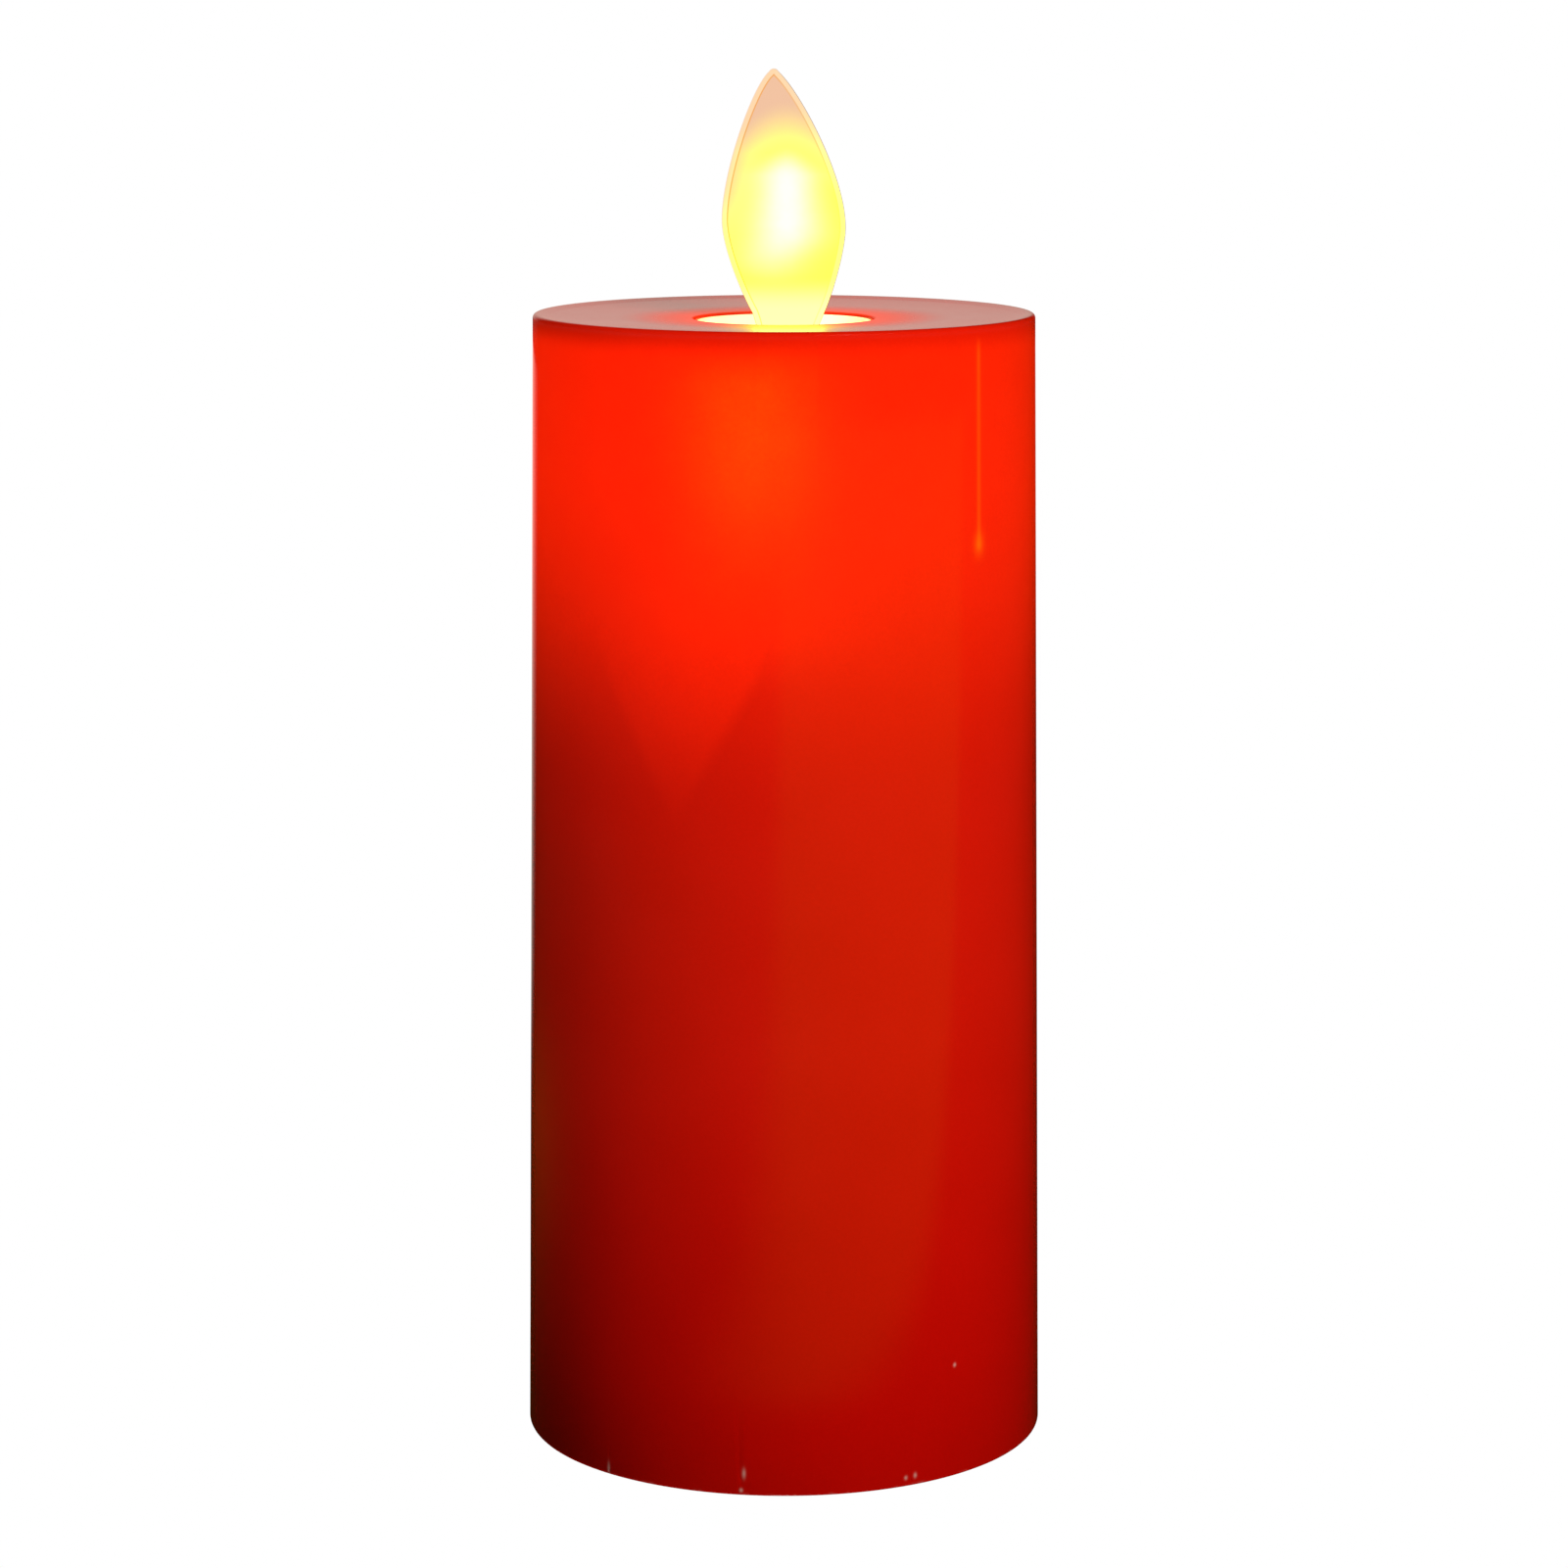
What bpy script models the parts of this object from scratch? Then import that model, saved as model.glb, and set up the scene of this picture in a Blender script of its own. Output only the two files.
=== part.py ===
"""Flameless LED pillar candle with a swaying flame, built as an assembly.

Sizes are in millimetres, and MM turns them into Blender's metres. The candle stands
on z = 0 with its axis on +Z, its front facing -Y, and +X on the right. Azimuths are
measured around the axis from the front towards the right.
"""

import math

import bmesh
import bpy
from mathutils import Vector

MM = 0.001
GAP = 0.3  # clearance between pieces that touch in the real candle

# Shell
BODY_HEIGHT = 119.0
BASE_DIAMETER = 55.0
TOP_DIAMETER = 52.1
SHELL_WALL = 1.6
TOP_THICKNESS = 1.6
TOP_DISH = 0.35
LIP_WIDTH = 1.0
LIP_HEIGHT = 0.2
RIM_ROUNDING = 0.8
FOOT_ROUNDING = 0.4
WELL_DIAMETER = 18.8
SHELL_STEPS = 72

# Module bosses under the shell's top
MODULE_BOSS_AZIMUTHS = (51.0, 231.0)
MODULE_BOSS_REACH = 20.6
MODULE_BOSS_LENGTH = 22.0
BOSS_RADIUS = 2.4
WEB_THICKNESS = 1.2

# Self-tapping screws
SHANK_RADIUS = 0.9
HEAD_RADIUS = 2.1
HEAD_HEIGHT = 1.3
SCREW_CLEARANCE = 0.35
SCREW_LENGTH = 8.0

# Base chassis and its bosses
BASE_RECESS = 0.6
BASE_THICKNESS = 2.4
BASE_SCREW_AZIMUTHS = (56.0, 180.0, 304.0)
BASE_BOSS_REACH = 21.3
BASE_BOSS_LENGTH = 11.0
COUNTERBORE_DEPTH = 1.4

# Battery wells, cells and contacts
CELL_RADIUS = 7.1
CELL_LENGTH = 50.2
CELL_NUB_RADIUS = 2.7
CELL_NUB_HEIGHT = 1.0
CELL_PITCH = 15.4
CELL_CLEARANCE = 0.5
WELL_WALL = 1.2
WELL_CENTRE_Y = 4.5
CONTACT_THICKNESS = 0.4
CONTACT_SIZE = 9.0
SPRING_WIRE = 0.6
SPRING_HEIGHT = 2.8
SPRING_RADIUS = 3.6
SPRING_TURNS = 2.5
CONTACT_TAB_WIDTH = 2.4
CONTACT_TAB_RISE = 2.0

# Battery door
DOOR_CLEARANCE = 0.35
DOOR_AXIS_OFFSET = 2.2
DOOR_BARREL_WIDTH = 5.0
DOOR_STUB_RADIUS = 0.6
DOOR_STUB_LENGTH = 1.8
LATCH_WIDTH = 7.0
LATCH_REACH = 2.0
LATCH_SLOT = 0.8
LATCH_SLOT_DEPTH = 4.0
LATCH_BEAD = 0.35
FINGER_RECESS = 2.2
STAKE_RADIUS = 0.8

# Power switch
SWITCH_Y = -14.5
SWITCH_CAN = (11.0, 5.6, 4.6)
SWITCH_TRAVEL = 4.0
KNOB_SIZE = (4.2, 3.4)
KNOB_PROUD = 0.3
SWITCH_STEM = 1.8
SWITCH_FENCE = 1.0
TERMINAL_RISE = 1.6

# Control board
BOARD_RADIUS = 18.0
BOARD_THICKNESS = 1.2
BOARD_POST_HEIGHT = 3.6
BOARD_POST_RADIUS = 2.0
BOARD_SCREW_REACH = 14.6
CHIP_SIZE = (5.0, 4.0, 1.6)
CHIP_AT = (-7.0, -13.0)
CAPACITOR_RADIUS = 2.5
CAPACITOR_HEIGHT = 7.0
CAPACITOR_AT = (9.5, 12.6)
TRANSISTOR_SIZE = (3.0, 1.6, 1.1)
TRANSISTOR_AT = (9.0, -12.4)
PART_SPACE = 3.0

# Flame module
MODULE_WIDTH = 25.0
MODULE_DEPTH = 18.0
MODULE_WALL = 1.4
MODULE_CORNER = 2.0
EAR_THICKNESS = 2.0
EAR_RADIUS = 3.0
CLAMP_RADIUS = 2.4
CLAMP_REACH = 2.2
CLAMP_DEPTH = 12.0
CLAMP_HEIGHT = 8.0
BOBBIN_RADIUS = 6.8
BOBBIN_CORE_RADIUS = 2.6
BOBBIN_BORE_RADIUS = 1.2
BOBBIN_HEIGHT = 10.0
BOBBIN_FLANGE = 1.0
WINDING_RADIUS = 6.2
LEAD_SLOT_SPARE = 1.4
LEAD_SLOT_WIDTH = 3.0

# Light cup
CUP_WALL = 1.2
CUP_COLLAR_WALL = 0.8
CUP_COLLAR_DROP = 0.25
CUP_THROAT_RADIUS = 7.4
CUP_FLANGE_RADIUS = 12.4
CUP_HEIGHT = 6.2

# Flame
FLAME_HEIGHT = 25.0
FLAME_THICKNESS = 1.0
PIVOT_DEPTH = 14.6
PIVOT_WIRE_DIAMETER = 0.8
PIVOT_HOLE_DIAMETER = 1.8
STEM_HALF_WIDTH = 2.4
STEM_FOOT_HALF_WIDTH = 1.8
STEM_LENGTH = 20.0
MAGNET_RADIUS = 4.0
MAGNET_THICKNESS = 2.0
MAGNET_AIR_GAP = 2.4

# Lamp
LED_RADIUS = 2.5
LED_FLANGE_RADIUS = 2.9
LED_LENGTH = 8.6
LED_SETBACK = 10.0
LED_DEPTH = 8.5
LED_AIM_HEIGHT = 9.0
LED_SOCKET_WALL = 1.2
LED_SOCKET_LENGTH = 4.0
LED_LEAD_PITCH = 2.54
LED_LEAD_DIAMETER = 0.5
LED_LEAD_LENGTH = 5.0

# Wires
WIRE_DIAMETER = 1.0
COIL_LEAD_DIAMETER = 0.5

# Heights that follow from the sizes above
BASE_TOP = BASE_RECESS + BASE_THICKNESS
DOOR_PLATE_BOTTOM = BASE_TOP + GAP
DOOR_PLATE_TOP = DOOR_PLATE_BOTTOM + CONTACT_THICKNESS
DOOR_SPRING_BOTTOM = DOOR_PLATE_TOP + GAP
UPRIGHT_CELL_BOTTOM = DOOR_SPRING_BOTTOM + SPRING_HEIGHT + GAP
UPRIGHT_CELL_TOP = UPRIGHT_CELL_BOTTOM + CELL_LENGTH
TOP_PLATE_BOTTOM = UPRIGHT_CELL_TOP + GAP
TOP_PLATE_TOP = TOP_PLATE_BOTTOM + CONTACT_THICKNESS
INVERTED_CELL_BOTTOM = DOOR_PLATE_TOP + GAP
WELL_TOP = TOP_PLATE_TOP + GAP + WELL_WALL
BOARD_BOTTOM = WELL_TOP + BOARD_POST_HEIGHT + GAP
BOARD_TOP = BOARD_BOTTOM + BOARD_THICKNESS
MODULE_BOTTOM = BOARD_TOP + PART_SPACE
TOP_UNDERSIDE = BODY_HEIGHT - LIP_HEIGHT - TOP_DISH - TOP_THICKNESS
CUP_TOP = TOP_UNDERSIDE - GAP
CUP_BOTTOM = CUP_TOP - CUP_HEIGHT
MODULE_TOP = CUP_BOTTOM - GAP
LAMP_MIDDLE = BODY_HEIGHT - LED_DEPTH
LAMP_TILT = math.atan2(LED_SETBACK, BODY_HEIGHT + LED_AIM_HEIGHT - LAMP_MIDDLE)
LAMP_FOOT = (
    LAMP_MIDDLE
    - LED_LENGTH / 2 * math.cos(LAMP_TILT)
    - LED_FLANGE_RADIUS * math.sin(LAMP_TILT)
)
PIVOT_CEILING = LAMP_FOOT - GAP - PIVOT_WIRE_DIAMETER / 2
PIVOT_HEIGHT = min(BODY_HEIGHT - PIVOT_DEPTH, PIVOT_CEILING)
STEM_BOTTOM = PIVOT_HEIGHT - STEM_LENGTH
MAGNET_TOP = STEM_BOTTOM - GAP
BOBBIN_TOP = MAGNET_TOP - MAGNET_THICKNESS - MAGNET_AIR_GAP
BOBBIN_BOTTOM = BOBBIN_TOP - BOBBIN_HEIGHT
MODULE_BOSS_BOTTOM = BODY_HEIGHT - TOP_THICKNESS - MODULE_BOSS_LENGTH

# Widths that follow
CELL_BAY_HALF_LENGTH = CELL_PITCH / 2 + CELL_RADIUS + CELL_CLEARANCE
CELL_BAY_HALF_WIDTH = CELL_RADIUS + CELL_CLEARANCE
DOOR_HALF_LENGTH = CELL_BAY_HALF_LENGTH - DOOR_CLEARANCE
DOOR_HALF_WIDTH = CELL_BAY_HALF_WIDTH - DOOR_CLEARANCE
DOOR_AXIS_X = -DOOR_HALF_LENGTH - DOOR_AXIS_OFFSET
DOOR_AXIS_Z = BASE_RECESS + BASE_THICKNESS / 2
BARREL_RADIUS = BASE_THICKNESS / 2
BASE_RADIUS = BASE_DIAMETER / 2 - SHELL_WALL - GAP - FOOT_ROUNDING / 2

RED_WAX = ("red_wax_plastic", (0.62, 0.012, 0.004), 0.28, 0.0)
IVORY = ("ivory_plastic", (0.86, 0.78, 0.60), 0.45, 0.0)
WHITE = ("white_plastic", (0.80, 0.80, 0.78), 0.55, 0.0)
RED_BASE = ("dark_red_plastic", (0.28, 0.010, 0.008), 0.5, 0.0)
BLACK = ("black_plastic", (0.02, 0.02, 0.02), 0.5, 0.0)
STEEL = ("plated_steel", (0.62, 0.62, 0.60), 0.3, 1.0)
MAGNET = ("nickel_magnet", (0.55, 0.55, 0.55), 0.25, 1.0)
COPPER = ("enamelled_copper", (0.72, 0.30, 0.12), 0.35, 1.0)
GREEN_BOARD = ("board_laminate", (0.03, 0.22, 0.08), 0.5, 0.0)
AMBER_LENS = ("lamp_epoxy", (0.95, 0.82, 0.45), 0.1, 0.0)
FLAME_SHEET = ("flame_sheet", (0.98, 0.86, 0.32), 0.4, 0.0)
CELL_SLEEVE = ("cell_sleeve", (0.12, 0.14, 0.16), 0.35, 0.0)
RED_WIRE = ("red_insulation", (0.65, 0.03, 0.02), 0.5, 0.0)
BLACK_WIRE = ("black_insulation", (0.03, 0.03, 0.03), 0.5, 0.0)
WHITE_WIRE = ("white_insulation", (0.75, 0.75, 0.72), 0.5, 0.0)


def clear_scene():
    """Remove everything the new file came with."""
    for old in list(bpy.data.objects):
        bpy.data.objects.remove(old, do_unlink=True)


def collection(name):
    """Make a collection in the scene."""
    made = bpy.data.collections.new(name)
    bpy.context.scene.collection.children.link(made)
    return made


clear_scene()
CANDLE = collection("flameless_candle")
CUTTERS = collection("cutters")
FINISHES = {}


def finish(look):
    """Return the material for a look, made once."""
    name, colour, roughness, metallic = look
    if name not in FINISHES:
        material = bpy.data.materials.new(name)
        material.use_nodes = True
        shader = material.node_tree.nodes["Principled BSDF"]
        shader.inputs["Base Color"].default_value = (*colour, 1.0)
        shader.inputs["Roughness"].default_value = roughness
        shader.inputs["Metallic"].default_value = metallic
        FINISHES[name] = material
    return FINISHES[name]


def place(name, data, look, at=(0, 0, 0), turn=(0, 0, 0)):
    """Put a mesh or curve in the candle, or with the cutters when it has no look."""
    made = bpy.data.objects.new(name, data)
    made.location = Vector(at) * MM
    made.rotation_euler = [math.radians(angle) for angle in turn]
    if look is None:
        CUTTERS.objects.link(made)
        made.hide_render = True
        made.display_type = "WIRE"
    else:
        CANDLE.objects.link(made)
        data.materials.append(finish(look))
    return made


def mesh_from(name, shape):
    """Turn a bmesh into a mesh, with its corners scaled to metres."""
    for corner in shape.verts:
        corner.co *= MM
    bmesh.ops.recalc_face_normals(shape, faces=shape.faces)
    mesh = bpy.data.meshes.new(name)
    shape.to_mesh(mesh)
    shape.free()
    return mesh


def block(name, low, high, look=None, turn=(0, 0, 0)):
    """A box from its low corner to its high corner, turned about its own centre."""
    low, high = Vector(low), Vector(high)
    shape = bmesh.new()
    bmesh.ops.create_cube(shape, size=1.0)
    size = high - low
    for corner in shape.verts:
        corner.co = [corner.co[side] * size[side] for side in range(3)]
    return place(name, mesh_from(name, shape), look, (low + high) / 2, turn)


def rod(name, radius, bottom, height, look=None, steps=20, turn=(0, 0, 0)):
    """A cylinder standing on its bottom point before it is turned about it."""
    shape = bmesh.new()
    bmesh.ops.create_cone(
        shape,
        cap_ends=True,
        segments=steps,
        radius1=radius,
        radius2=radius,
        depth=height,
    )
    for corner in shape.verts:
        corner.co.z += height / 2
    mesh = mesh_from(name, shape)
    mesh.shade_smooth()
    mesh.set_sharp_from_angle(angle=math.radians(35))
    return place(name, mesh, look, bottom, turn)


def turned(name, profile, look=None, closed=True, steps=28, at=(0, 0, 0), turn=(0, 0, 0)):
    """A shape turned about Z from a profile that runs down its outer side."""
    shape = bmesh.new()
    corners = [shape.verts.new((radius * MM, 0.0, height * MM)) for radius, height in profile]
    pairs = list(zip(corners, corners[1:]))
    if closed:
        pairs.append((corners[-1], corners[0]))
    for pair in pairs:
        shape.edges.new(pair)
    mesh = bpy.data.meshes.new(name)
    shape.to_mesh(mesh)
    shape.free()
    made = place(name, mesh, look, at, turn)
    screw = made.modifiers.new("Turn", "SCREW")
    screw.steps = steps
    screw.render_steps = steps
    screw.use_merge_vertices = True
    screw.merge_threshold = 0.000001
    screw.use_smooth_shade = True
    return made


def change(piece, operation, tool):
    """Cut a tool from a piece or join it on."""
    modifier = piece.modifiers.new(f"{operation.title()} {tool.name}", "BOOLEAN")
    modifier.operation = operation
    modifier.object = tool
    modifier.solver = "EXACT"


def cut(piece, *tools):
    """Take tools away from a piece."""
    for tool in tools:
        change(piece, "DIFFERENCE", tool)


def join(piece, *tools):
    """Add tools to a piece."""
    for tool in tools:
        change(piece, "UNION", tool)


def around(reach, azimuth, height=0.0):
    """A point at a reach from the axis, its azimuth measured from the front to the right."""
    angle = math.radians(azimuth)
    return Vector((reach * math.sin(angle), -reach * math.cos(angle), height))


def outer_radius(height):
    """The shell's outside radius at a height."""
    slope = (TOP_DIAMETER - BASE_DIAMETER) / 2 / BODY_HEIGHT
    return BASE_DIAMETER / 2 + slope * height


def catmull_rom(before, start, end, after, share):
    """A point on the smooth stretch from start to end."""
    return 0.5 * (
        2 * start
        + (end - before) * share
        + (2 * before - 5 * start + 4 * end - after) * share**2
        + (3 * start - before - 3 * end + after) * share**3
    )


def smooth_route(route, spacing):
    """Points read from a smooth curve through a route, about a spacing apart."""
    knots = [Vector(point) for point in route]
    knots = [2 * knots[0] - knots[1], *knots, 2 * knots[-1] - knots[-2]]
    points = []
    for before, start, end, after in zip(knots, knots[1:], knots[2:], knots[3:]):
        count = max(1, round((end - start).length / spacing))
        for step in range(count):
            points.append(catmull_rom(before, start, end, after, step / count))
    return [*points, knots[-2]]


def tube(name, points, diameter, look, at=(0, 0, 0)):
    """A round wire along points."""
    curve = bpy.data.curves.new(name, "CURVE")
    curve.dimensions = "3D"
    curve.bevel_depth = diameter / 2 * MM
    curve.bevel_resolution = 2
    curve.use_fill_caps = True
    curve.render_resolution_u = 0
    line = curve.splines.new("POLY")
    line.points.add(len(points) - 1)
    for knot, point in zip(line.points, points):
        knot.co = (*(Vector(point) * MM), 1.0)
    return place(name, curve, look, at)


def wire(name, route, look, diameter=WIRE_DIAMETER):
    """An insulated wire on a smooth route."""
    return tube(name, smooth_route(route, 3 * diameter), diameter, look)


def screw_fastener(name, at, turn=(0, 0, 0), length=SCREW_LENGTH):
    """A pan-head screw whose shank rises from its head's seat before it is turned."""
    profile = [
        (0.0, length),
        (SHANK_RADIUS * 0.4, length),
        (SHANK_RADIUS, length - 1.2),
        (SHANK_RADIUS, 0.0),
        (HEAD_RADIUS, 0.0),
        (HEAD_RADIUS, -HEAD_HEIGHT * 0.55),
        (HEAD_RADIUS * 0.7, -HEAD_HEIGHT),
        (0.0, -HEAD_HEIGHT),
    ]
    screw = turned(name, profile, STEEL, closed=False, steps=14, at=at, turn=turn)
    socket = rod(
        f"{name}_recess",
        HEAD_RADIUS * 0.35,
        (0, 0, -HEAD_HEIGHT - GAP),
        GAP + HEAD_HEIGHT * 0.6,
        steps=4,
    )
    socket.parent = screw
    cut(screw, socket)
    return screw


def shell_section():
    """The shell's wall, from the well's upper edge out, down the side and up inside."""
    top_radius = TOP_DIAMETER / 2
    base_radius = BASE_DIAMETER / 2
    well_radius = WELL_DIAMETER / 2
    lip_foot = top_radius - RIM_ROUNDING - LIP_WIDTH
    plate_edge = BODY_HEIGHT - LIP_HEIGHT
    section = []
    dish_steps = 4
    for step in range(dish_steps + 1):
        share = step / dish_steps
        radius = well_radius + (lip_foot - well_radius) * share
        section.append((radius, plate_edge - TOP_DISH * (1 - share**2)))
    rim_steps = 5
    for step in range(rim_steps + 1):
        angle = math.pi / 2 * (1 - step / rim_steps)
        radius = top_radius - RIM_ROUNDING * (1 - math.cos(angle))
        section.append((radius, BODY_HEIGHT - RIM_ROUNDING * (1 - math.sin(angle))))
    section += [
        (base_radius, FOOT_ROUNDING),
        (base_radius - FOOT_ROUNDING * 0.3, FOOT_ROUNDING * 0.3),
        (base_radius - FOOT_ROUNDING, 0.0),
        (base_radius - SHELL_WALL, 0.0),
        (top_radius - SHELL_WALL, plate_edge - TOP_THICKNESS - RIM_ROUNDING),
        (top_radius - SHELL_WALL - RIM_ROUNDING, plate_edge - TOP_THICKNESS),
        (well_radius, TOP_UNDERSIDE),
    ]
    return section


def boss(name, reach, azimuth, bottom, top):
    """A screw boss and the web that ties it to the shell's wall."""
    centre = around(reach, azimuth, bottom)
    post = rod(f"{name}_post", BOSS_RADIUS, centre, top - bottom)
    wall_middle = outer_radius((bottom + top) / 2) - SHELL_WALL / 2
    length = wall_middle - reach
    middle = around(reach + length / 2, azimuth, (bottom + top) / 2)
    half = Vector((WEB_THICKNESS / 2, length / 2, (top - bottom) / 2))
    web = block(f"{name}_web", middle - half, middle + half, turn=(0, 0, azimuth))
    return post, web


def build_shell():
    """The red body with its dished top, flame well and screw bosses."""
    shell = turned("candle_shell", shell_section(), RED_WAX, steps=SHELL_STEPS)
    top = TOP_UNDERSIDE + TOP_THICKNESS / 2
    for number, azimuth in enumerate(MODULE_BOSS_AZIMUTHS, 1):
        name = f"module_boss_{number}"
        join(shell, *boss(name, MODULE_BOSS_REACH, azimuth, MODULE_BOSS_BOTTOM, top))
        foot = around(MODULE_BOSS_REACH, azimuth, MODULE_BOSS_BOTTOM - GAP)
        depth = SCREW_LENGTH + GAP
        cut(shell, rod(f"{name}_pilot", SHANK_RADIUS + SCREW_CLEARANCE, foot, depth, steps=16))
    bottom = BASE_TOP + GAP
    for number, azimuth in enumerate(BASE_SCREW_AZIMUTHS, 1):
        name = f"base_boss_{number}"
        join(shell, *boss(name, BASE_BOSS_REACH, azimuth, bottom, bottom + BASE_BOSS_LENGTH))
        foot = around(BASE_BOSS_REACH, azimuth, bottom - GAP)
        depth = SCREW_LENGTH + GAP
        cut(shell, rod(f"{name}_pilot", SHANK_RADIUS + SCREW_CLEARANCE, foot, depth, steps=16))


def build_chassis():
    """The base plate with the battery wells above it."""
    half_x = CELL_BAY_HALF_LENGTH
    half_y = CELL_BAY_HALF_WIDTH
    y = WELL_CENTRE_Y
    plate_foot = (0, 0, BASE_RECESS)
    chassis = rod("base_chassis", BASE_RADIUS, plate_foot, BASE_THICKNESS, RED_BASE, steps=64)
    wells = block(
        "well_block",
        (-half_x - WELL_WALL, y - half_y - WELL_WALL, BASE_TOP - GAP),
        (half_x + WELL_WALL, y + half_y + WELL_WALL, WELL_TOP),
    )
    join(chassis, wells)
    for number, side in enumerate((-1, 1), 1):
        post = rod(
            f"board_post_{number}",
            BOARD_POST_RADIUS,
            (side * BOARD_SCREW_REACH, y, WELL_TOP - GAP),
            BOARD_POST_HEIGHT + GAP,
        )
        join(chassis, post)
    for number, side in enumerate((-1, 1), 1):
        inner = side * (SWITCH_CAN[0] / 2 + GAP)
        outer = inner + side * SWITCH_FENCE
        fence = block(
            f"switch_fence_{number}",
            (min(inner, outer), SWITCH_Y - SWITCH_CAN[1] / 2, BASE_TOP - GAP),
            (max(inner, outer), SWITCH_Y + SWITCH_CAN[1] / 2, BASE_TOP + SWITCH_CAN[2]),
        )
        join(chassis, fence)
    bay = block(
        "cell_bay",
        (-half_x, y - half_y, -GAP),
        (half_x, y + half_y, WELL_TOP - WELL_WALL),
    )
    cut(chassis, bay)
    cut_door_seats(chassis)
    cut_chassis_holes(chassis)


def cut_door_seats(chassis):
    """The hinge notch, its two stub sockets and the latch notch."""
    y = WELL_CENTRE_Y
    notch_half = DOOR_BARREL_WIDTH / 2 + GAP
    notch = block(
        "hinge_notch",
        (DOOR_AXIS_X - BARREL_RADIUS - GAP, y - notch_half, -GAP),
        (-CELL_BAY_HALF_LENGTH + GAP, y + notch_half, BASE_TOP + GAP * 1.5),
    )
    socket_length = DOOR_BARREL_WIDTH + 2 * (DOOR_STUB_LENGTH + GAP)
    socket = rod(
        "stub_socket",
        DOOR_STUB_RADIUS + GAP,
        (DOOR_AXIS_X, y + socket_length / 2, DOOR_AXIS_Z),
        socket_length,
        steps=16,
        turn=(90, 0, 0),
    )
    latch_half = LATCH_WIDTH / 2 + DOOR_CLEARANCE
    latch_end = DOOR_HALF_LENGTH + LATCH_REACH + LATCH_BEAD + FINGER_RECESS
    latch = block(
        "latch_notch",
        (CELL_BAY_HALF_LENGTH - GAP, y - latch_half, -GAP),
        (latch_end, y + latch_half, BASE_TOP + GAP * 1.5),
    )
    cut(chassis, notch, socket, latch)


def cut_chassis_holes(chassis):
    """The screw holes, the switch window and the slots for the contact tabs."""
    hole_radius = SHANK_RADIUS + SCREW_CLEARANCE
    for number, azimuth in enumerate(BASE_SCREW_AZIMUTHS, 1):
        centre = around(BASE_BOSS_REACH, azimuth, -GAP)
        through = rod(f"base_hole_{number}", hole_radius, centre, BASE_TOP + 2 * GAP, steps=16)
        depth = BASE_RECESS + COUNTERBORE_DEPTH + GAP
        recess = rod(f"counterbore_{number}", HEAD_RADIUS + SCREW_CLEARANCE, centre, depth)
        cut(chassis, through, recess)
    window_x = (KNOB_SIZE[0] + SWITCH_TRAVEL) / 2 + SCREW_CLEARANCE
    window_y = KNOB_SIZE[1] / 2 + SCREW_CLEARANCE
    window = block(
        "switch_window",
        (-window_x, SWITCH_Y - window_y, -GAP),
        (window_x, SWITCH_Y + window_y, BASE_TOP + GAP),
    )
    cut(chassis, window)
    for number, side in enumerate((-1, 1), 1):
        x = side * CELL_PITCH / 2
        slot_x = CONTACT_TAB_WIDTH / 2 + GAP
        slot_y = CONTACT_THICKNESS / 2 + GAP
        slot = block(
            f"tab_slot_{number}",
            (x - slot_x, WELL_CENTRE_Y - slot_y, WELL_TOP - WELL_WALL - GAP),
            (x + slot_x, WELL_CENTRE_Y + slot_y, WELL_TOP + GAP),
        )
        pilot = rod(
            f"board_pilot_{number}",
            hole_radius,
            (side * BOARD_SCREW_REACH, WELL_CENTRE_Y, WELL_TOP - WELL_WALL / 2),
            BOARD_POST_HEIGHT + WELL_WALL,
            steps=16,
        )
        cut(chassis, slot, pilot)


def build_base_screws():
    """Three screws through the base plate into the shell's bosses."""
    seat = BASE_RECESS + COUNTERBORE_DEPTH
    for number, azimuth in enumerate(BASE_SCREW_AZIMUTHS, 1):
        at = around(BASE_BOSS_REACH, azimuth, seat - GAP / 2)
        screw_fastener(f"base_screw_{number}", at)


def cell_profile():
    """An AA cell standing on its flat end."""
    shoulder = CELL_LENGTH - CELL_NUB_HEIGHT
    edge = 0.6
    return [
        (0.0, CELL_LENGTH),
        (CELL_NUB_RADIUS - edge / 3, CELL_LENGTH),
        (CELL_NUB_RADIUS, CELL_LENGTH - edge / 3),
        (CELL_NUB_RADIUS, shoulder),
        (CELL_RADIUS - edge, shoulder),
        (CELL_RADIUS, shoulder - edge),
        (CELL_RADIUS, edge),
        (CELL_RADIUS - edge, 0.0),
        (0.0, 0.0),
    ]


def spring_points(bottom, height):
    """A conical spring that narrows upward."""
    points = []
    per_turn = 10
    count = round(SPRING_TURNS * per_turn)
    rise = height - SPRING_WIRE
    for step in range(count + 1):
        share = step / count
        angle = 2 * math.pi * SPRING_TURNS * share
        radius = SPRING_RADIUS * (1 - 0.45 * share)
        lift = bottom + SPRING_WIRE / 2 + rise * share
        points.append((radius * math.cos(angle), radius * math.sin(angle), lift))
    return points


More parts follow.
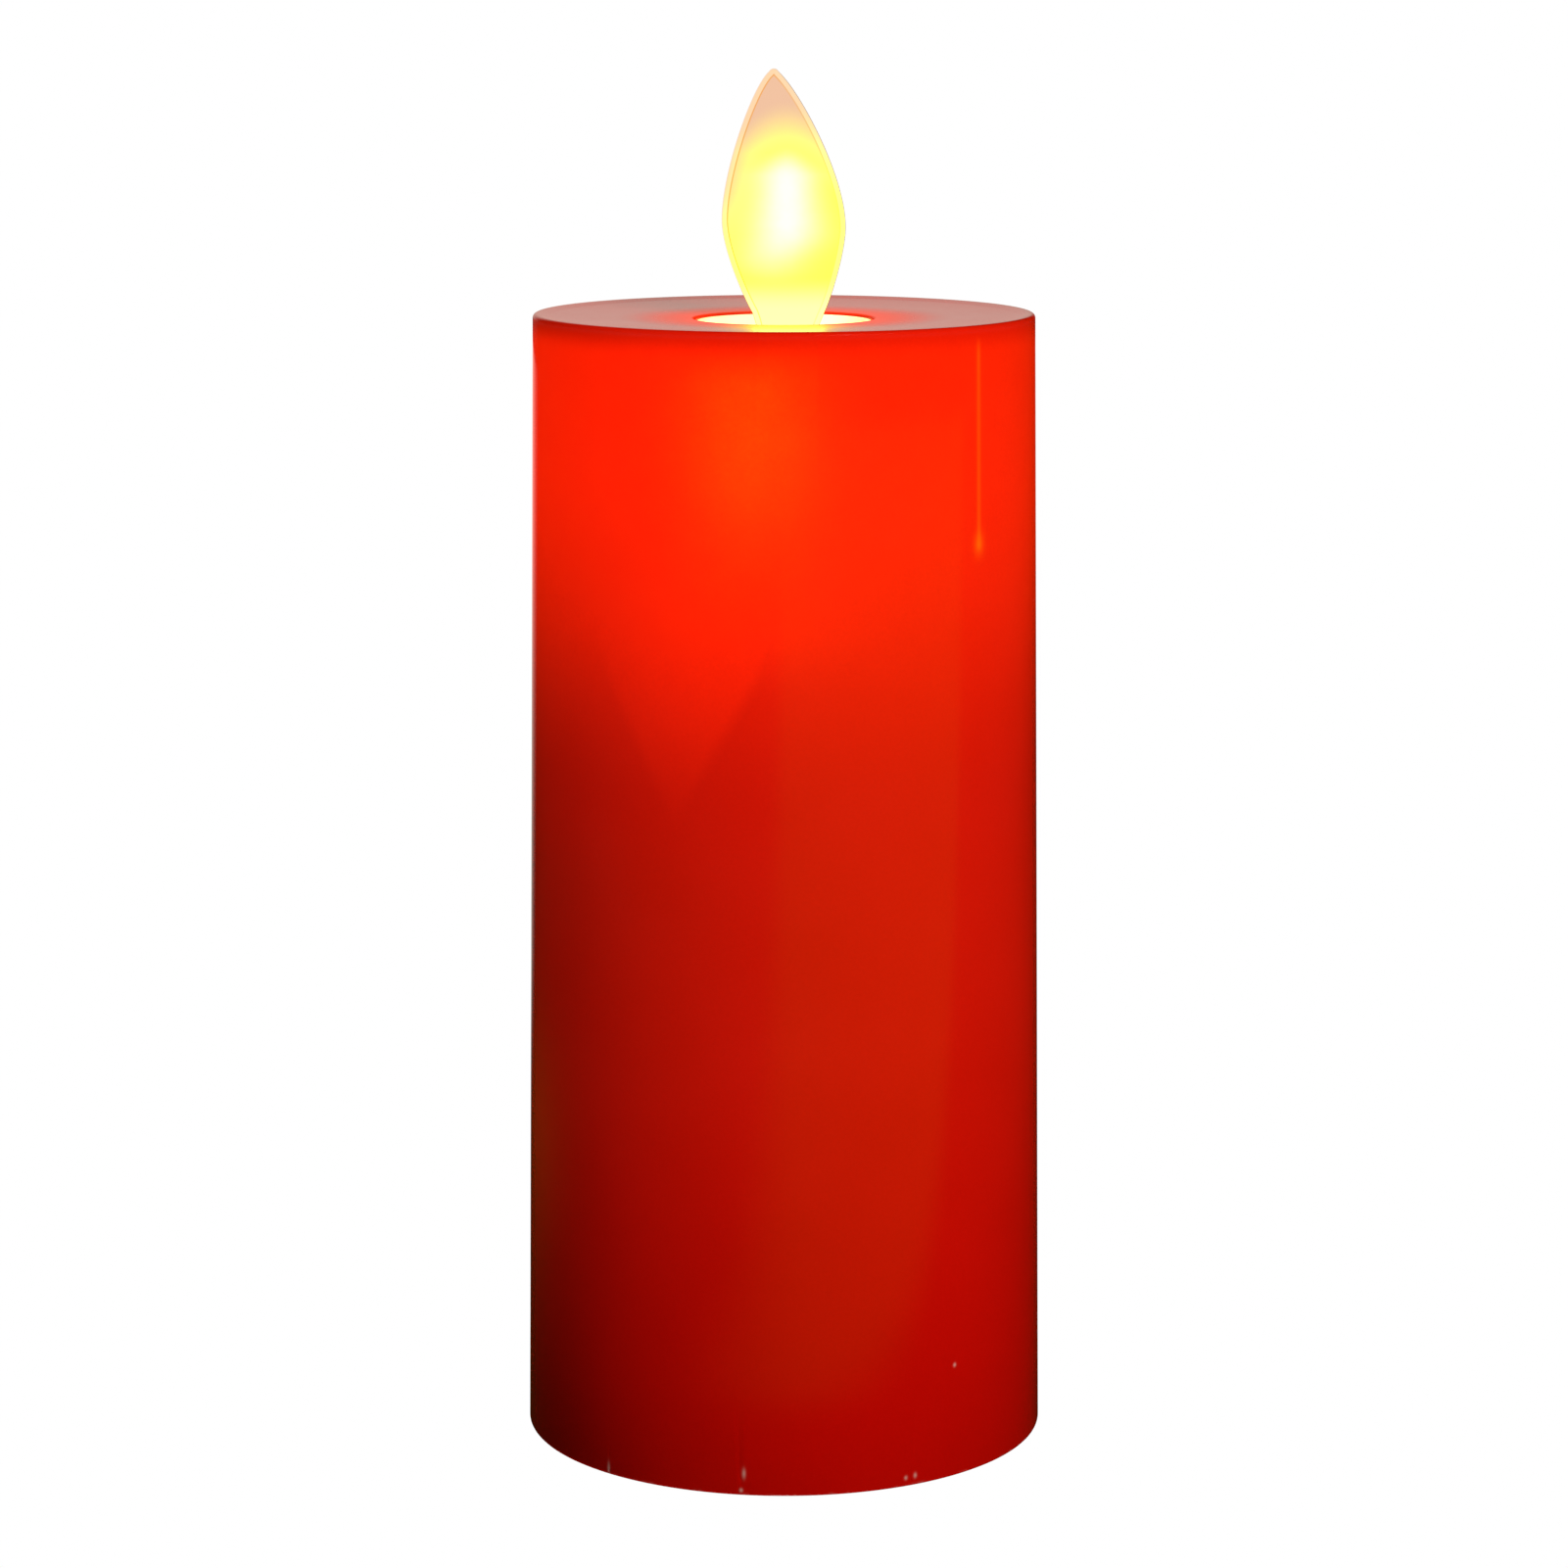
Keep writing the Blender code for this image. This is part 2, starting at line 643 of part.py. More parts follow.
def build_cells_and_contacts():
    """Two AA cells side by side, one inverted, and the contacts above them."""
    y = WELL_CENTRE_Y
    left, right = -CELL_PITCH / 2, CELL_PITCH / 2
    turned("battery_cell_1", cell_profile(), CELL_SLEEVE, False, at=(left, y, UPRIGHT_CELL_BOTTOM))
    inverted_top = INVERTED_CELL_BOTTOM + CELL_LENGTH
    upside_down = (180, 0, 0)
    inverted_at = (right, y, inverted_top)
    turned("battery_cell_2", cell_profile(), CELL_SLEEVE, False, at=inverted_at, turn=upside_down)
    for name, x in (("contact_plate_positive", left), ("contact_plate_negative", right)):
        half = CONTACT_SIZE / 2
        low = (x - half, y - half, TOP_PLATE_BOTTOM)
        plate = block(name, low, (x + half, y + half, TOP_PLATE_TOP), STEEL)
        tab_half = CONTACT_TAB_WIDTH / 2
        thick_half = CONTACT_THICKNESS / 2
        tab = block(
            f"{name}_tab",
            (x - tab_half, y - thick_half, TOP_PLATE_BOTTOM + thick_half),
            (x + tab_half, y + thick_half, WELL_TOP + CONTACT_TAB_RISE),
        )
        join(plate, tab)
    space = TOP_PLATE_BOTTOM - inverted_top - 2 * GAP
    coil = spring_points(inverted_top + GAP, space)
    tube("contact_spring_negative", coil, SPRING_WIRE, STEEL, (right, y, 0))


def build_door(hinge):
    """The battery door with its hinge barrel, latch tongue and bridge contact."""
    y = WELL_CENTRE_Y
    door = block(
        "battery_door",
        (-DOOR_HALF_LENGTH, y - DOOR_HALF_WIDTH, BASE_RECESS),
        (DOOR_HALF_LENGTH, y + DOOR_HALF_WIDTH, BASE_TOP),
        RED_BASE,
    )
    arm = block(
        "hinge_arm",
        (DOOR_AXIS_X, y - DOOR_BARREL_WIDTH / 2, BASE_RECESS),
        (-DOOR_HALF_LENGTH + GAP, y + DOOR_BARREL_WIDTH / 2, BASE_TOP),
    )
    barrel = rod(
        "hinge_barrel",
        BARREL_RADIUS,
        (DOOR_AXIS_X, y + DOOR_BARREL_WIDTH / 2, DOOR_AXIS_Z),
        DOOR_BARREL_WIDTH,
        turn=(90, 0, 0),
    )
    stub_length = DOOR_BARREL_WIDTH + 2 * DOOR_STUB_LENGTH
    stub = rod(
        "hinge_stub",
        DOOR_STUB_RADIUS,
        (DOOR_AXIS_X, y + stub_length / 2, DOOR_AXIS_Z),
        stub_length,
        steps=16,
        turn=(90, 0, 0),
    )
    tongue_end = DOOR_HALF_LENGTH + LATCH_REACH
    tongue = block(
        "latch_tongue",
        (DOOR_HALF_LENGTH - GAP, y - LATCH_WIDTH / 2, BASE_RECESS),
        (tongue_end, y + LATCH_WIDTH / 2, BASE_TOP),
    )
    bead = rod(
        "latch_bead",
        LATCH_BEAD,
        (tongue_end, y + LATCH_WIDTH / 2 - GAP, BASE_TOP - 2 * LATCH_BEAD),
        LATCH_WIDTH - 2 * GAP,
        steps=16,
        turn=(90, 0, 0),
    )
    join(door, arm, barrel, stub, tongue, bead)
    for number, side in enumerate((-1, 1), 1):
        edge = y + side * (LATCH_WIDTH / 2 + LATCH_SLOT / 2)
        slot = block(
            f"latch_slot_{number}",
            (DOOR_HALF_LENGTH - LATCH_SLOT_DEPTH, edge - LATCH_SLOT / 2, -GAP),
            (DOOR_HALF_LENGTH + GAP, edge + LATCH_SLOT / 2, BASE_TOP + GAP),
        )
        cut(door, slot)
        stake = rod(
            f"contact_stake_{number}",
            STAKE_RADIUS,
            (0, y + side * CONTACT_SIZE / 4, BASE_TOP - GAP),
            DOOR_PLATE_TOP + GAP - BASE_TOP + GAP,
            steps=16,
        )
        join(door, stake)
    plate_half = CELL_PITCH / 2 + CELL_NUB_RADIUS + 1.0
    plate = block(
        "door_bridge_plate",
        (-plate_half, y - CONTACT_SIZE / 2, DOOR_PLATE_BOTTOM),
        (plate_half, y + CONTACT_SIZE / 2, DOOR_PLATE_TOP),
        STEEL,
    )
    for number, side in enumerate((-1, 1), 1):
        hole = rod(
            f"stake_hole_{number}",
            STAKE_RADIUS + GAP,
            (0, y + side * CONTACT_SIZE / 4, DOOR_PLATE_BOTTOM - GAP),
            CONTACT_THICKNESS + 2 * GAP,
            steps=16,
        )
        cut(plate, hole)
    spring = tube(
        "door_bridge_spring",
        spring_points(DOOR_SPRING_BOTTOM, SPRING_HEIGHT),
        SPRING_WIRE,
        STEEL,
        (-CELL_PITCH / 2, y, 0),
    )
    for piece in (door, plate, spring):
        follow(piece, hinge)


def build_switch(travel):
    """The slide switch's can and its knob in the base plate's window."""
    can_x, can_y, can_z = SWITCH_CAN
    bottom = BASE_TOP + GAP
    can = block(
        "switch_can",
        (-can_x / 2, SWITCH_Y - can_y / 2, bottom),
        (can_x / 2, SWITCH_Y + can_y / 2, bottom + can_z),
        STEEL,
    )
    slot_x = (SWITCH_STEM + SWITCH_TRAVEL) / 2 + GAP
    slot_y = SWITCH_STEM / 2 + GAP
    slot = block(
        "switch_slot",
        (-slot_x, SWITCH_Y - slot_y, bottom - GAP),
        (slot_x, SWITCH_Y + slot_y, bottom + can_z * 0.7),
    )
    cut(can, slot)
    for number, side in enumerate((-1, 1), 1):
        x = side * can_x / 4
        terminal = block(
            f"switch_terminal_{number}",
            (x - 0.6, SWITCH_Y - 0.3, bottom + can_z - GAP),
            (x + 0.6, SWITCH_Y + 0.3, bottom + can_z + TERMINAL_RISE),
        )
        join(can, terminal)
    on_x = -SWITCH_TRAVEL / 2
    knob_x, knob_y = KNOB_SIZE
    knob = block(
        "switch_slider",
        (on_x - knob_x / 2, SWITCH_Y - knob_y / 2, BASE_RECESS - KNOB_PROUD),
        (on_x + knob_x / 2, SWITCH_Y + knob_y / 2, BASE_TOP - GAP / 2),
        BLACK,
    )
    stem = block(
        "switch_stem",
        (on_x - SWITCH_STEM / 2, SWITCH_Y - SWITCH_STEM / 2, BASE_TOP - GAP),
        (on_x + SWITCH_STEM / 2, SWITCH_Y + SWITCH_STEM / 2, bottom + can_z * 0.5),
    )
    join(knob, stem)
    groove_half = 0.25
    for number in range(3):
        x = on_x + (number - 1) * knob_x / 4
        groove = block(
            f"knob_groove_{number + 1}",
            (x - groove_half, SWITCH_Y - knob_y, -GAP),
            (x + groove_half, SWITCH_Y + knob_y, BASE_RECESS),
        )
        cut(knob, groove)
    follow(knob, travel)


def build_board():
    """The round control board above the cells, its parts and its two screws."""
    underside = (0, 0, BOARD_BOTTOM)
    board = rod("control_board", BOARD_RADIUS, underside, BOARD_THICKNESS, GREEN_BOARD, steps=48)
    for number, side in enumerate((-1, 1), 1):
        at = (side * BOARD_SCREW_REACH, WELL_CENTRE_Y, BOARD_BOTTOM - GAP)
        depth = BOARD_THICKNESS + 2 * GAP
        hole = rod(f"board_hole_{number}", SHANK_RADIUS + SCREW_CLEARANCE, at, depth, steps=16)
        cut(board, hole)
        seat = (at[0], at[1], BOARD_TOP + GAP)
        length = BOARD_POST_HEIGHT + BOARD_THICKNESS
        screw_fastener(f"board_screw_{number}", seat, turn=(180, 0, 0), length=length)
    lift = BOARD_TOP + GAP
    rod("capacitor", CAPACITOR_RADIUS, (*CAPACITOR_AT, lift), CAPACITOR_HEIGHT, BLACK)
    for name, size, (x, y) in (
        ("controller_chip", CHIP_SIZE, CHIP_AT),
        ("driver_transistor", TRANSISTOR_SIZE, TRANSISTOR_AT),
    ):
        half_x, half_y = size[0] / 2, size[1] / 2
        low = (x - half_x, y - half_y, lift)
        block(name, low, (x + half_x, y + half_y, lift + size[2]), BLACK)


def ear(name, azimuth):
    """A screw ear that reaches from the module's side to a shell boss."""
    top = MODULE_BOSS_BOTTOM - GAP
    bottom = top - EAR_THICKNESS
    end = around(MODULE_BOSS_REACH, azimuth, bottom)
    pad = rod(f"{name}_pad", EAR_RADIUS, end, EAR_THICKNESS)
    root = around(MODULE_DEPTH / 2, azimuth)
    middle = (around(MODULE_BOSS_REACH, azimuth) + root) / 2
    length = MODULE_BOSS_REACH - MODULE_DEPTH / 2
    half = Vector((EAR_RADIUS * 0.8, length / 2, 0))
    low = middle - half + Vector((0, 0, bottom))
    high = middle + half + Vector((0, 0, top))
    arm = block(f"{name}_arm", low, high, turn=(0, 0, azimuth))
    return pad, arm


def rounded_block(name, low, high, corner, look=None):
    """A box with its four upright edges rounded."""
    made = block(name, low, high, look)
    shape = bmesh.new()
    shape.from_mesh(made.data)
    upright = [e for e in shape.edges if abs(e.verts[0].co.z - e.verts[1].co.z) > corner * MM]
    bmesh.ops.bevel(shape, geom=upright, offset=corner * MM, segments=4, profile=0.5, affect="EDGES")
    shape.to_mesh(made.data)
    shape.free()
    return made


def lamp_direction():
    """The unit vector along which the lamp shines, up and back at the flame."""
    return Vector((0, math.sin(LAMP_TILT), math.cos(LAMP_TILT)))


def lamp_tilt():
    """The lamp's tilt about X, in degrees."""
    return -math.degrees(LAMP_TILT)


def lamp_point(distance):
    """A point on the lamp's axis, measured from its middle towards the flame."""
    return Vector((0, -LED_SETBACK, LAMP_MIDDLE)) + lamp_direction() * distance


def module_half(name, side):
    """One half of the flame module's housing, with its ear, clamp bosses and seats."""
    width, depth = MODULE_WIDTH / 2, MODULE_DEPTH / 2
    wall = MODULE_WALL
    half = rounded_block(
        name, (-width, -depth, MODULE_BOTTOM), (width, depth, MODULE_TOP), MODULE_CORNER, WHITE
    )
    azimuth = MODULE_BOSS_AZIMUTHS[0] if side < 0 else MODULE_BOSS_AZIMUTHS[1]
    join(half, *ear(f"{name}_ear", azimuth))
    clamp_z = MODULE_BOTTOM + CLAMP_HEIGHT
    for number, way in enumerate((-1, 1), 1):
        x = way * (width + CLAMP_REACH)
        rear_end = (x, CLAMP_DEPTH / 2, clamp_z)
        post = rod(f"{name}_clamp_{number}", CLAMP_RADIUS, rear_end, CLAMP_DEPTH, turn=(90, 0, 0))
        lug = block(
            f"{name}_lug_{number}",
            (min(x, way * (width - wall / 2)), -CLAMP_DEPTH / 2, clamp_z - CLAMP_RADIUS),
            (max(x, way * (width - wall / 2)), CLAMP_DEPTH / 2, clamp_z + CLAMP_RADIUS),
        )
        join(half, post, lug)
    if side < 0:
        socket = rod(
            f"{name}_lamp_socket",
            LED_RADIUS + GAP + LED_SOCKET_WALL,
            lamp_point(-LED_SOCKET_LENGTH + 1.0),
            LED_SOCKET_LENGTH,
            turn=(lamp_tilt(), 0, 0),
        )
        join(half, socket)
    cavity = block(
        f"{name}_cavity",
        (-width + wall, -depth + wall, MODULE_BOTTOM + wall),
        (width - wall, depth - wall, MODULE_TOP - wall),
    )
    far = 2 * MODULE_WIDTH
    other = (-far, -GAP / 2, 0) if side < 0 else (-far, -far, 0)
    other_end = (far, far, BODY_HEIGHT) if side < 0 else (far, GAP / 2, BODY_HEIGHT)
    away = block(f"{name}_other_side", other, other_end)
    mouth_foot = (0, 0, MODULE_TOP - wall - GAP)
    mouth = rod(f"{name}_mouth", CUP_THROAT_RADIUS, mouth_foot, wall + 2 * GAP, steps=32)
    slot_x = BOBBIN_RADIUS + LEAD_SLOT_SPARE
    slot_y = LEAD_SLOT_WIDTH / 2
    slot = block(
        f"{name}_lead_slot",
        (-slot_x, -slot_y, MODULE_BOTTOM - GAP),
        (slot_x, slot_y, MODULE_BOTTOM + wall + GAP),
    )
    wire_hole = rod(
        f"{name}_wire_hole",
        PIVOT_WIRE_DIAMETER / 2 + GAP,
        (0, depth + GAP, PIVOT_HEIGHT),
        MODULE_DEPTH + 2 * GAP,
        steps=12,
        turn=(90, 0, 0),
    )
    cut(half, cavity, away, mouth, slot, wire_hole)
    cut_module_screw_holes(half, name, azimuth)
    if side < 0:
        bore = rod(
            f"{name}_lamp_bore",
            LED_FLANGE_RADIUS + GAP,
            lamp_point(-LED_LENGTH),
            2 * LED_LENGTH,
            turn=(lamp_tilt(), 0, 0),
        )
        cut(half, bore)


def cut_module_screw_holes(half, name, azimuth):
    """The holes for the clamp screws and the ear's mounting screw."""
    hole_radius = SHANK_RADIUS + SCREW_CLEARANCE
    for number, way in enumerate((-1, 1), 1):
        x = way * (MODULE_WIDTH / 2 + CLAMP_REACH)
        hole = rod(
            f"{name}_clamp_hole_{number}",
            hole_radius,
            (x, CLAMP_DEPTH / 2 - 1.5, MODULE_BOTTOM + CLAMP_HEIGHT),
            CLAMP_DEPTH,
            steps=16,
            turn=(90, 0, 0),
        )
        cut(half, hole)
    ear_bottom = MODULE_BOSS_BOTTOM - 2 * GAP - EAR_THICKNESS
    at = around(MODULE_BOSS_REACH, azimuth, ear_bottom)
    cut(half, rod(f"{name}_ear_hole", hole_radius, at, EAR_THICKNESS + 2 * GAP, steps=16))


def build_module():
    """The two housing halves and the four screws that hold them."""
    module_half("module_front_shell", -1)
    module_half("module_rear_shell", 1)
    for number, way in enumerate((-1, 1), 1):
        at = (
            way * (MODULE_WIDTH / 2 + CLAMP_REACH),
            -CLAMP_DEPTH / 2 - GAP,
            MODULE_BOTTOM + CLAMP_HEIGHT,
        )
        screw_fastener(f"module_clamp_screw_{number}", at, turn=(-90, 0, 0))
    for number, azimuth in enumerate(MODULE_BOSS_AZIMUTHS, 1):
        seat = MODULE_BOSS_BOTTOM - 2 * GAP - EAR_THICKNESS
        screw_fastener(f"module_mount_screw_{number}", around(MODULE_BOSS_REACH, azimuth, seat))


def build_light_cup():
    """The ivory funnel that catches the lamp's light, with a collar that lines the well."""
    collar = WELL_DIAMETER / 2 - GAP
    mouth = collar - CUP_COLLAR_WALL
    throat = CUP_THROAT_RADIUS
    section = [
        (mouth, TOP_UNDERSIDE + TOP_THICKNESS - CUP_COLLAR_DROP),
        (collar, TOP_UNDERSIDE + TOP_THICKNESS - CUP_COLLAR_DROP),
        (collar, CUP_TOP),
        (CUP_FLANGE_RADIUS, CUP_TOP),
        (CUP_FLANGE_RADIUS, CUP_TOP - CUP_WALL),
        (collar, CUP_TOP - CUP_WALL),
        (throat + CUP_WALL, CUP_BOTTOM),
        (throat, CUP_BOTTOM),
    ]
    cup = turned("light_cup", section, IVORY, steps=40)
    reach = LED_RADIUS + LED_SOCKET_WALL + 2 * GAP
    tilt = (lamp_tilt(), 0, 0)
    bore = rod("cup_lamp_bore", reach, lamp_point(-LED_LENGTH), 1.5 * LED_LENGTH, turn=tilt)
    cut(cup, bore)


def build_lamp():
    """The warm white lamp, aimed up at the flame, and its two leads."""
    half = LED_LENGTH / 2
    dome = LED_RADIUS
    profile = []
    dome_steps = 5
    for step in range(dome_steps + 1):
        angle = math.pi / 2 * step / dome_steps
        profile.append((dome * math.sin(angle), half - dome + dome * math.cos(angle)))
    profile += [
        (LED_RADIUS, -half + 1.0),
        (LED_FLANGE_RADIUS, -half + 1.0),
        (LED_FLANGE_RADIUS, -half),
        (0.0, -half),
    ]
    turned("led_lamp", profile, AMBER_LENS, False, 24, lamp_point(0), (lamp_tilt(), 0, 0))
    way = lamp_direction()
    for name, side, look in (("anode", -1, RED_WIRE), ("cathode", 1, BLACK_WIRE)):
        shift = Vector((side * LED_LEAD_PITCH / 2, 0, 0))
        top = lamp_point(-half - GAP) + shift
        bottom = top - way * LED_LEAD_LENGTH
        tube(f"led_lead_{name}", [top, (top + bottom) / 2, bottom], LED_LEAD_DIAMETER, STEEL)
        start = bottom - way * GAP
        board = Vector((start.x * 1.6, -14.6, BOARD_TOP + GAP + WIRE_DIAMETER / 2))
        route = [
            start,
            start - way * 2.0,
            Vector((start.x * 1.4, -15.8, start.z - 8.0)),
            Vector((start.x * 1.7, -15.4, (start.z + board.z) / 2)),
            board + Vector((0, -0.6, 6.0)),
            board,
        ]
        wire(f"led_wire_{name}", route, look)


def build_coil():
    """The bobbin and winding that drive the flame's magnet."""
    flange_top = BOBBIN_TOP - BOBBIN_FLANGE
    flange_bottom = BOBBIN_BOTTOM + BOBBIN_FLANGE
    section = [
        (BOBBIN_BORE_RADIUS, BOBBIN_TOP),
        (BOBBIN_RADIUS, BOBBIN_TOP),
        (BOBBIN_RADIUS, flange_top),
        (BOBBIN_CORE_RADIUS, flange_top),
        (BOBBIN_CORE_RADIUS, flange_bottom),
        (BOBBIN_RADIUS, flange_bottom),
        (BOBBIN_RADIUS, BOBBIN_BOTTOM),
        (BOBBIN_BORE_RADIUS, BOBBIN_BOTTOM),
    ]
    turned("coil_bobbin", section, WHITE)
    inner = BOBBIN_CORE_RADIUS + GAP
    winding = [
        (inner, flange_top - GAP),
        (WINDING_RADIUS - 0.3, flange_top - GAP),
        (WINDING_RADIUS, flange_top - GAP - 0.3),
        (WINDING_RADIUS, flange_bottom + GAP + 0.3),
        (WINDING_RADIUS - 0.3, flange_bottom + GAP),
        (inner, flange_bottom + GAP),
    ]
    turned("coil_winding", winding, COPPER)
    for number, side in enumerate((-1, 1), 1):
        start_x = side * (BOBBIN_RADIUS + GAP + COIL_LEAD_DIAMETER / 2)
        route = [
            (start_x, 0.0, (flange_bottom + flange_top) / 2),
            (start_x, 0.0, BOBBIN_BOTTOM),
            (start_x, 0.0, MODULE_BOTTOM + MODULE_WALL / 2),
            (start_x - side * 0.6, 0.0, BOARD_TOP + GAP),
        ]
        wire(f"coil_lead_{number}", route, COPPER, COIL_LEAD_DIAMETER)


def flame_outline():
    """The flame's edge as Bezier knots: point, left handle, right handle, in order."""
    rim = BODY_HEIGHT
    tip = rim + FLAME_HEIGHT
    foot = rim - 6.5
    bottom = STEM_BOTTOM
    stem = STEM_HALF_WIDTH
    toe = STEM_FOOT_HALF_WIDTH
    return [
        ((-1.55, tip - 0.3), (-3.35, tip - 1.9), (-1.3, tip + 0.1)),
        ((-0.55, tip - 0.3), (-0.8, tip + 0.1), (1.9, tip - 2.6)),
        ((6.38, rim + 8.8), (6.38, rim + 13.8), (6.38, rim + 6.4)),
        ((4.2, rim), (5.0, rim + 1.7), (3.3, rim - 2.1)),
        ((stem, foot), (2.5, rim - 4.4), (stem, foot - 3.0)),
        ((toe, bottom), (toe, bottom + 6.0), (toe / 3, bottom)),
        ((-toe, bottom), (-toe / 3, bottom), (-toe, bottom + 6.0)),
        ((-stem, foot), (-stem, foot - 3.0), (-2.4, rim - 4.4)),
        ((-3.3, rim), (-2.5, rim - 2.1), (-4.0, rim + 1.2)),
        ((-6.44, rim + 9.6), (-6.44, rim + 6.4), (-6.44, rim + 14.3)),
    ]


def build_flame(pivot):
    """The flame tab that hangs on the pivot wire, and the magnet on its foot."""
    curve = bpy.data.curves.new("flame_tab", "CURVE")
    curve.dimensions = "2D"
    curve.fill_mode = "BOTH"
    curve.extrude = FLAME_THICKNESS / 2 * MM
    curve.resolution_u = 8
    curve.render_resolution_u = 0
    edge = curve.splines.new("BEZIER")
    knots = flame_outline()
    edge.bezier_points.add(len(knots) - 1)
    edge.use_cyclic_u = True
    for knot, (point, left, right) in zip(edge.bezier_points, knots):
        knot.handle_left_type = "FREE"
        knot.handle_right_type = "FREE"
        knot.co = Vector((*point, 0)) * MM
        knot.handle_left = Vector((*left, 0)) * MM
        knot.handle_right = Vector((*right, 0)) * MM
    hole = curve.splines.new("POLY")
    hole_steps = 16
    hole.points.add(hole_steps - 1)
    hole.use_cyclic_u = True
    for step, knot in enumerate(hole.points):
        angle = 2 * math.pi * step / hole_steps
        radius = PIVOT_HOLE_DIAMETER / 2
        spot = Vector((radius * math.cos(angle), PIVOT_HEIGHT + radius * math.sin(angle), 0))
        knot.co = (*(spot * MM), 1.0)
    tab = place("flame_tab", curve, FLAME_SHEET, turn=(90, 0, 0))
    bottom = MAGNET_TOP - MAGNET_THICKNESS
    edge_break = 0.3
    profile = [
        (0.0, MAGNET_THICKNESS),
        (MAGNET_RADIUS - edge_break, MAGNET_THICKNESS),
        (MAGNET_RADIUS, MAGNET_THICKNESS - edge_break),
        (MAGNET_RADIUS, edge_break),
        (MAGNET_RADIUS - edge_break, 0.0),
        (0.0, 0.0),
    ]
    magnet = turned("flame_magnet", profile, MAGNET, closed=False, at=(0, 0, bottom))
    follow(tab, pivot)
    follow(magnet, pivot)


def build_pivot_wire():
    """The bent steel wire that the flame hangs on."""
    reach = MODULE_DEPTH / 2 + 0.4
    bend = 0.8
    height = PIVOT_HEIGHT
    route = [
        (0, -reach, height),
        (0, 0, height),
        (0, reach, height),
        (0, reach + bend * 0.7, height - bend * 0.3),
        (0, reach + bend, height - bend),
        (0, reach + bend, height - bend - 3.0),
    ]
    tube("pivot_wire", route, PIVOT_WIRE_DIAMETER, STEEL)


def build_power_wires():
    """The wires from the cell contacts and from the switch up to the board."""
    y = WELL_CENTRE_Y
    under = BOARD_BOTTOM - GAP - WIRE_DIAMETER / 2
    for name, side, look in (("positive", -1, RED_WIRE), ("negative", 1, BLACK_WIRE)):
        x = side * CELL_PITCH / 2
        tab_side = y - CONTACT_THICKNESS / 2 - GAP - WIRE_DIAMETER / 2
        route = [
            (x, tab_side, WELL_TOP + GAP + WIRE_DIAMETER / 2),
            (x, tab_side - 2.5, WELL_TOP + 1.6),
            (x - side * 1.0, tab_side - 7.0, under - 0.6),
            (x - side * 2.0, tab_side - 11.5, under),
        ]
        wire(f"battery_wire_{name}", route, look)
    terminal_z = BASE_TOP + GAP + SWITCH_CAN[2] + TERMINAL_RISE + GAP
    front = y - CELL_BAY_HALF_WIDTH - WELL_WALL - 1.2
    for number, side in enumerate((-1, 1), 1):
        x = side * SWITCH_CAN[0] / 4
        route = [
            (x, SWITCH_Y, terminal_z + WIRE_DIAMETER / 2),
            (x, SWITCH_Y + 0.4, terminal_z + 4.0),
            (x * 1.2, front - 2.0, terminal_z + 14.0),
            (x * 0.9, front - 1.6, WELL_TOP / 2),
            (x * 1.2, front - 2.4, WELL_TOP - 8.0),
            (x * 1.1, SWITCH_Y + 0.6, under),
        ]
        wire(f"switch_wire_{number}", route, WHITE_WIRE)


def joint_axis(name, at):
    """An empty that stands on a joint's axis."""
    axis = bpy.data.objects.new(name, None)
    axis.location = Vector(at) * MM
    axis.empty_display_size = 5 * MM
    CANDLE.objects.link(axis)
    return axis


def follow(piece, axis):
    """Parent a piece to its joint's empty and keep it where it is."""
    piece.parent = axis
    piece.location = Vector(piece.location) - Vector(axis.location)


def build_candle():
    """Make every piece of the candle."""
    pivot = joint_axis("flame_pivot", (0, 0, PIVOT_HEIGHT))
    hinge = joint_axis("door_hinge", (DOOR_AXIS_X, WELL_CENTRE_Y, DOOR_AXIS_Z))
    travel = joint_axis("switch_travel", (-SWITCH_TRAVEL / 2, SWITCH_Y, BASE_RECESS))
    build_shell()
    build_light_cup()
    build_module()
    build_coil()
    build_lamp()
    build_pivot_wire()
    build_flame(pivot)
    build_board()
    build_chassis()
    build_base_screws()
    build_cells_and_contacts()
    build_door(hinge)
    build_switch(travel)
    build_power_wires()


build_candle()
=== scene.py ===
"""Flameless LED pillar candle: the fine visual model, its finishes and its studio.

Sizes are in millimetres, and MM turns them into Blender's metres. The candle stands on
z = 0 with its axis on +Z, its front facing -Y, and +X on the right. Azimuths are
measured around the axis from the front towards the right.
"""

import functools
import logging
import math
from dataclasses import dataclass
from enum import Enum

import bmesh
import bpy
from mathutils import Matrix, Vector

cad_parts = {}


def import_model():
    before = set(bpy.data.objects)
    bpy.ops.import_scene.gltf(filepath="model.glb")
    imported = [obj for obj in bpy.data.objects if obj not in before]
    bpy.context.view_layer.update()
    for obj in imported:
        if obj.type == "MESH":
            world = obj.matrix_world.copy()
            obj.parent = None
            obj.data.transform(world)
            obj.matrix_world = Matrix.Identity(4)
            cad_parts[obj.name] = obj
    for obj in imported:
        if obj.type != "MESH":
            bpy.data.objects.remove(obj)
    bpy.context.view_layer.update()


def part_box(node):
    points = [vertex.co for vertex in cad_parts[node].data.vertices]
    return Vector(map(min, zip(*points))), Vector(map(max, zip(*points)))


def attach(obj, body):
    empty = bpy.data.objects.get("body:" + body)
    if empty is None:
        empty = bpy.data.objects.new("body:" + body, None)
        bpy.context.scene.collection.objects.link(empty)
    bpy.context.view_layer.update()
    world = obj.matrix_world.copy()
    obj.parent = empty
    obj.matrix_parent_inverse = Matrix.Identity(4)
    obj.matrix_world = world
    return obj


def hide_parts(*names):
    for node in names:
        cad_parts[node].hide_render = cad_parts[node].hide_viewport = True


MM = 0.001
TINY = 0.0001
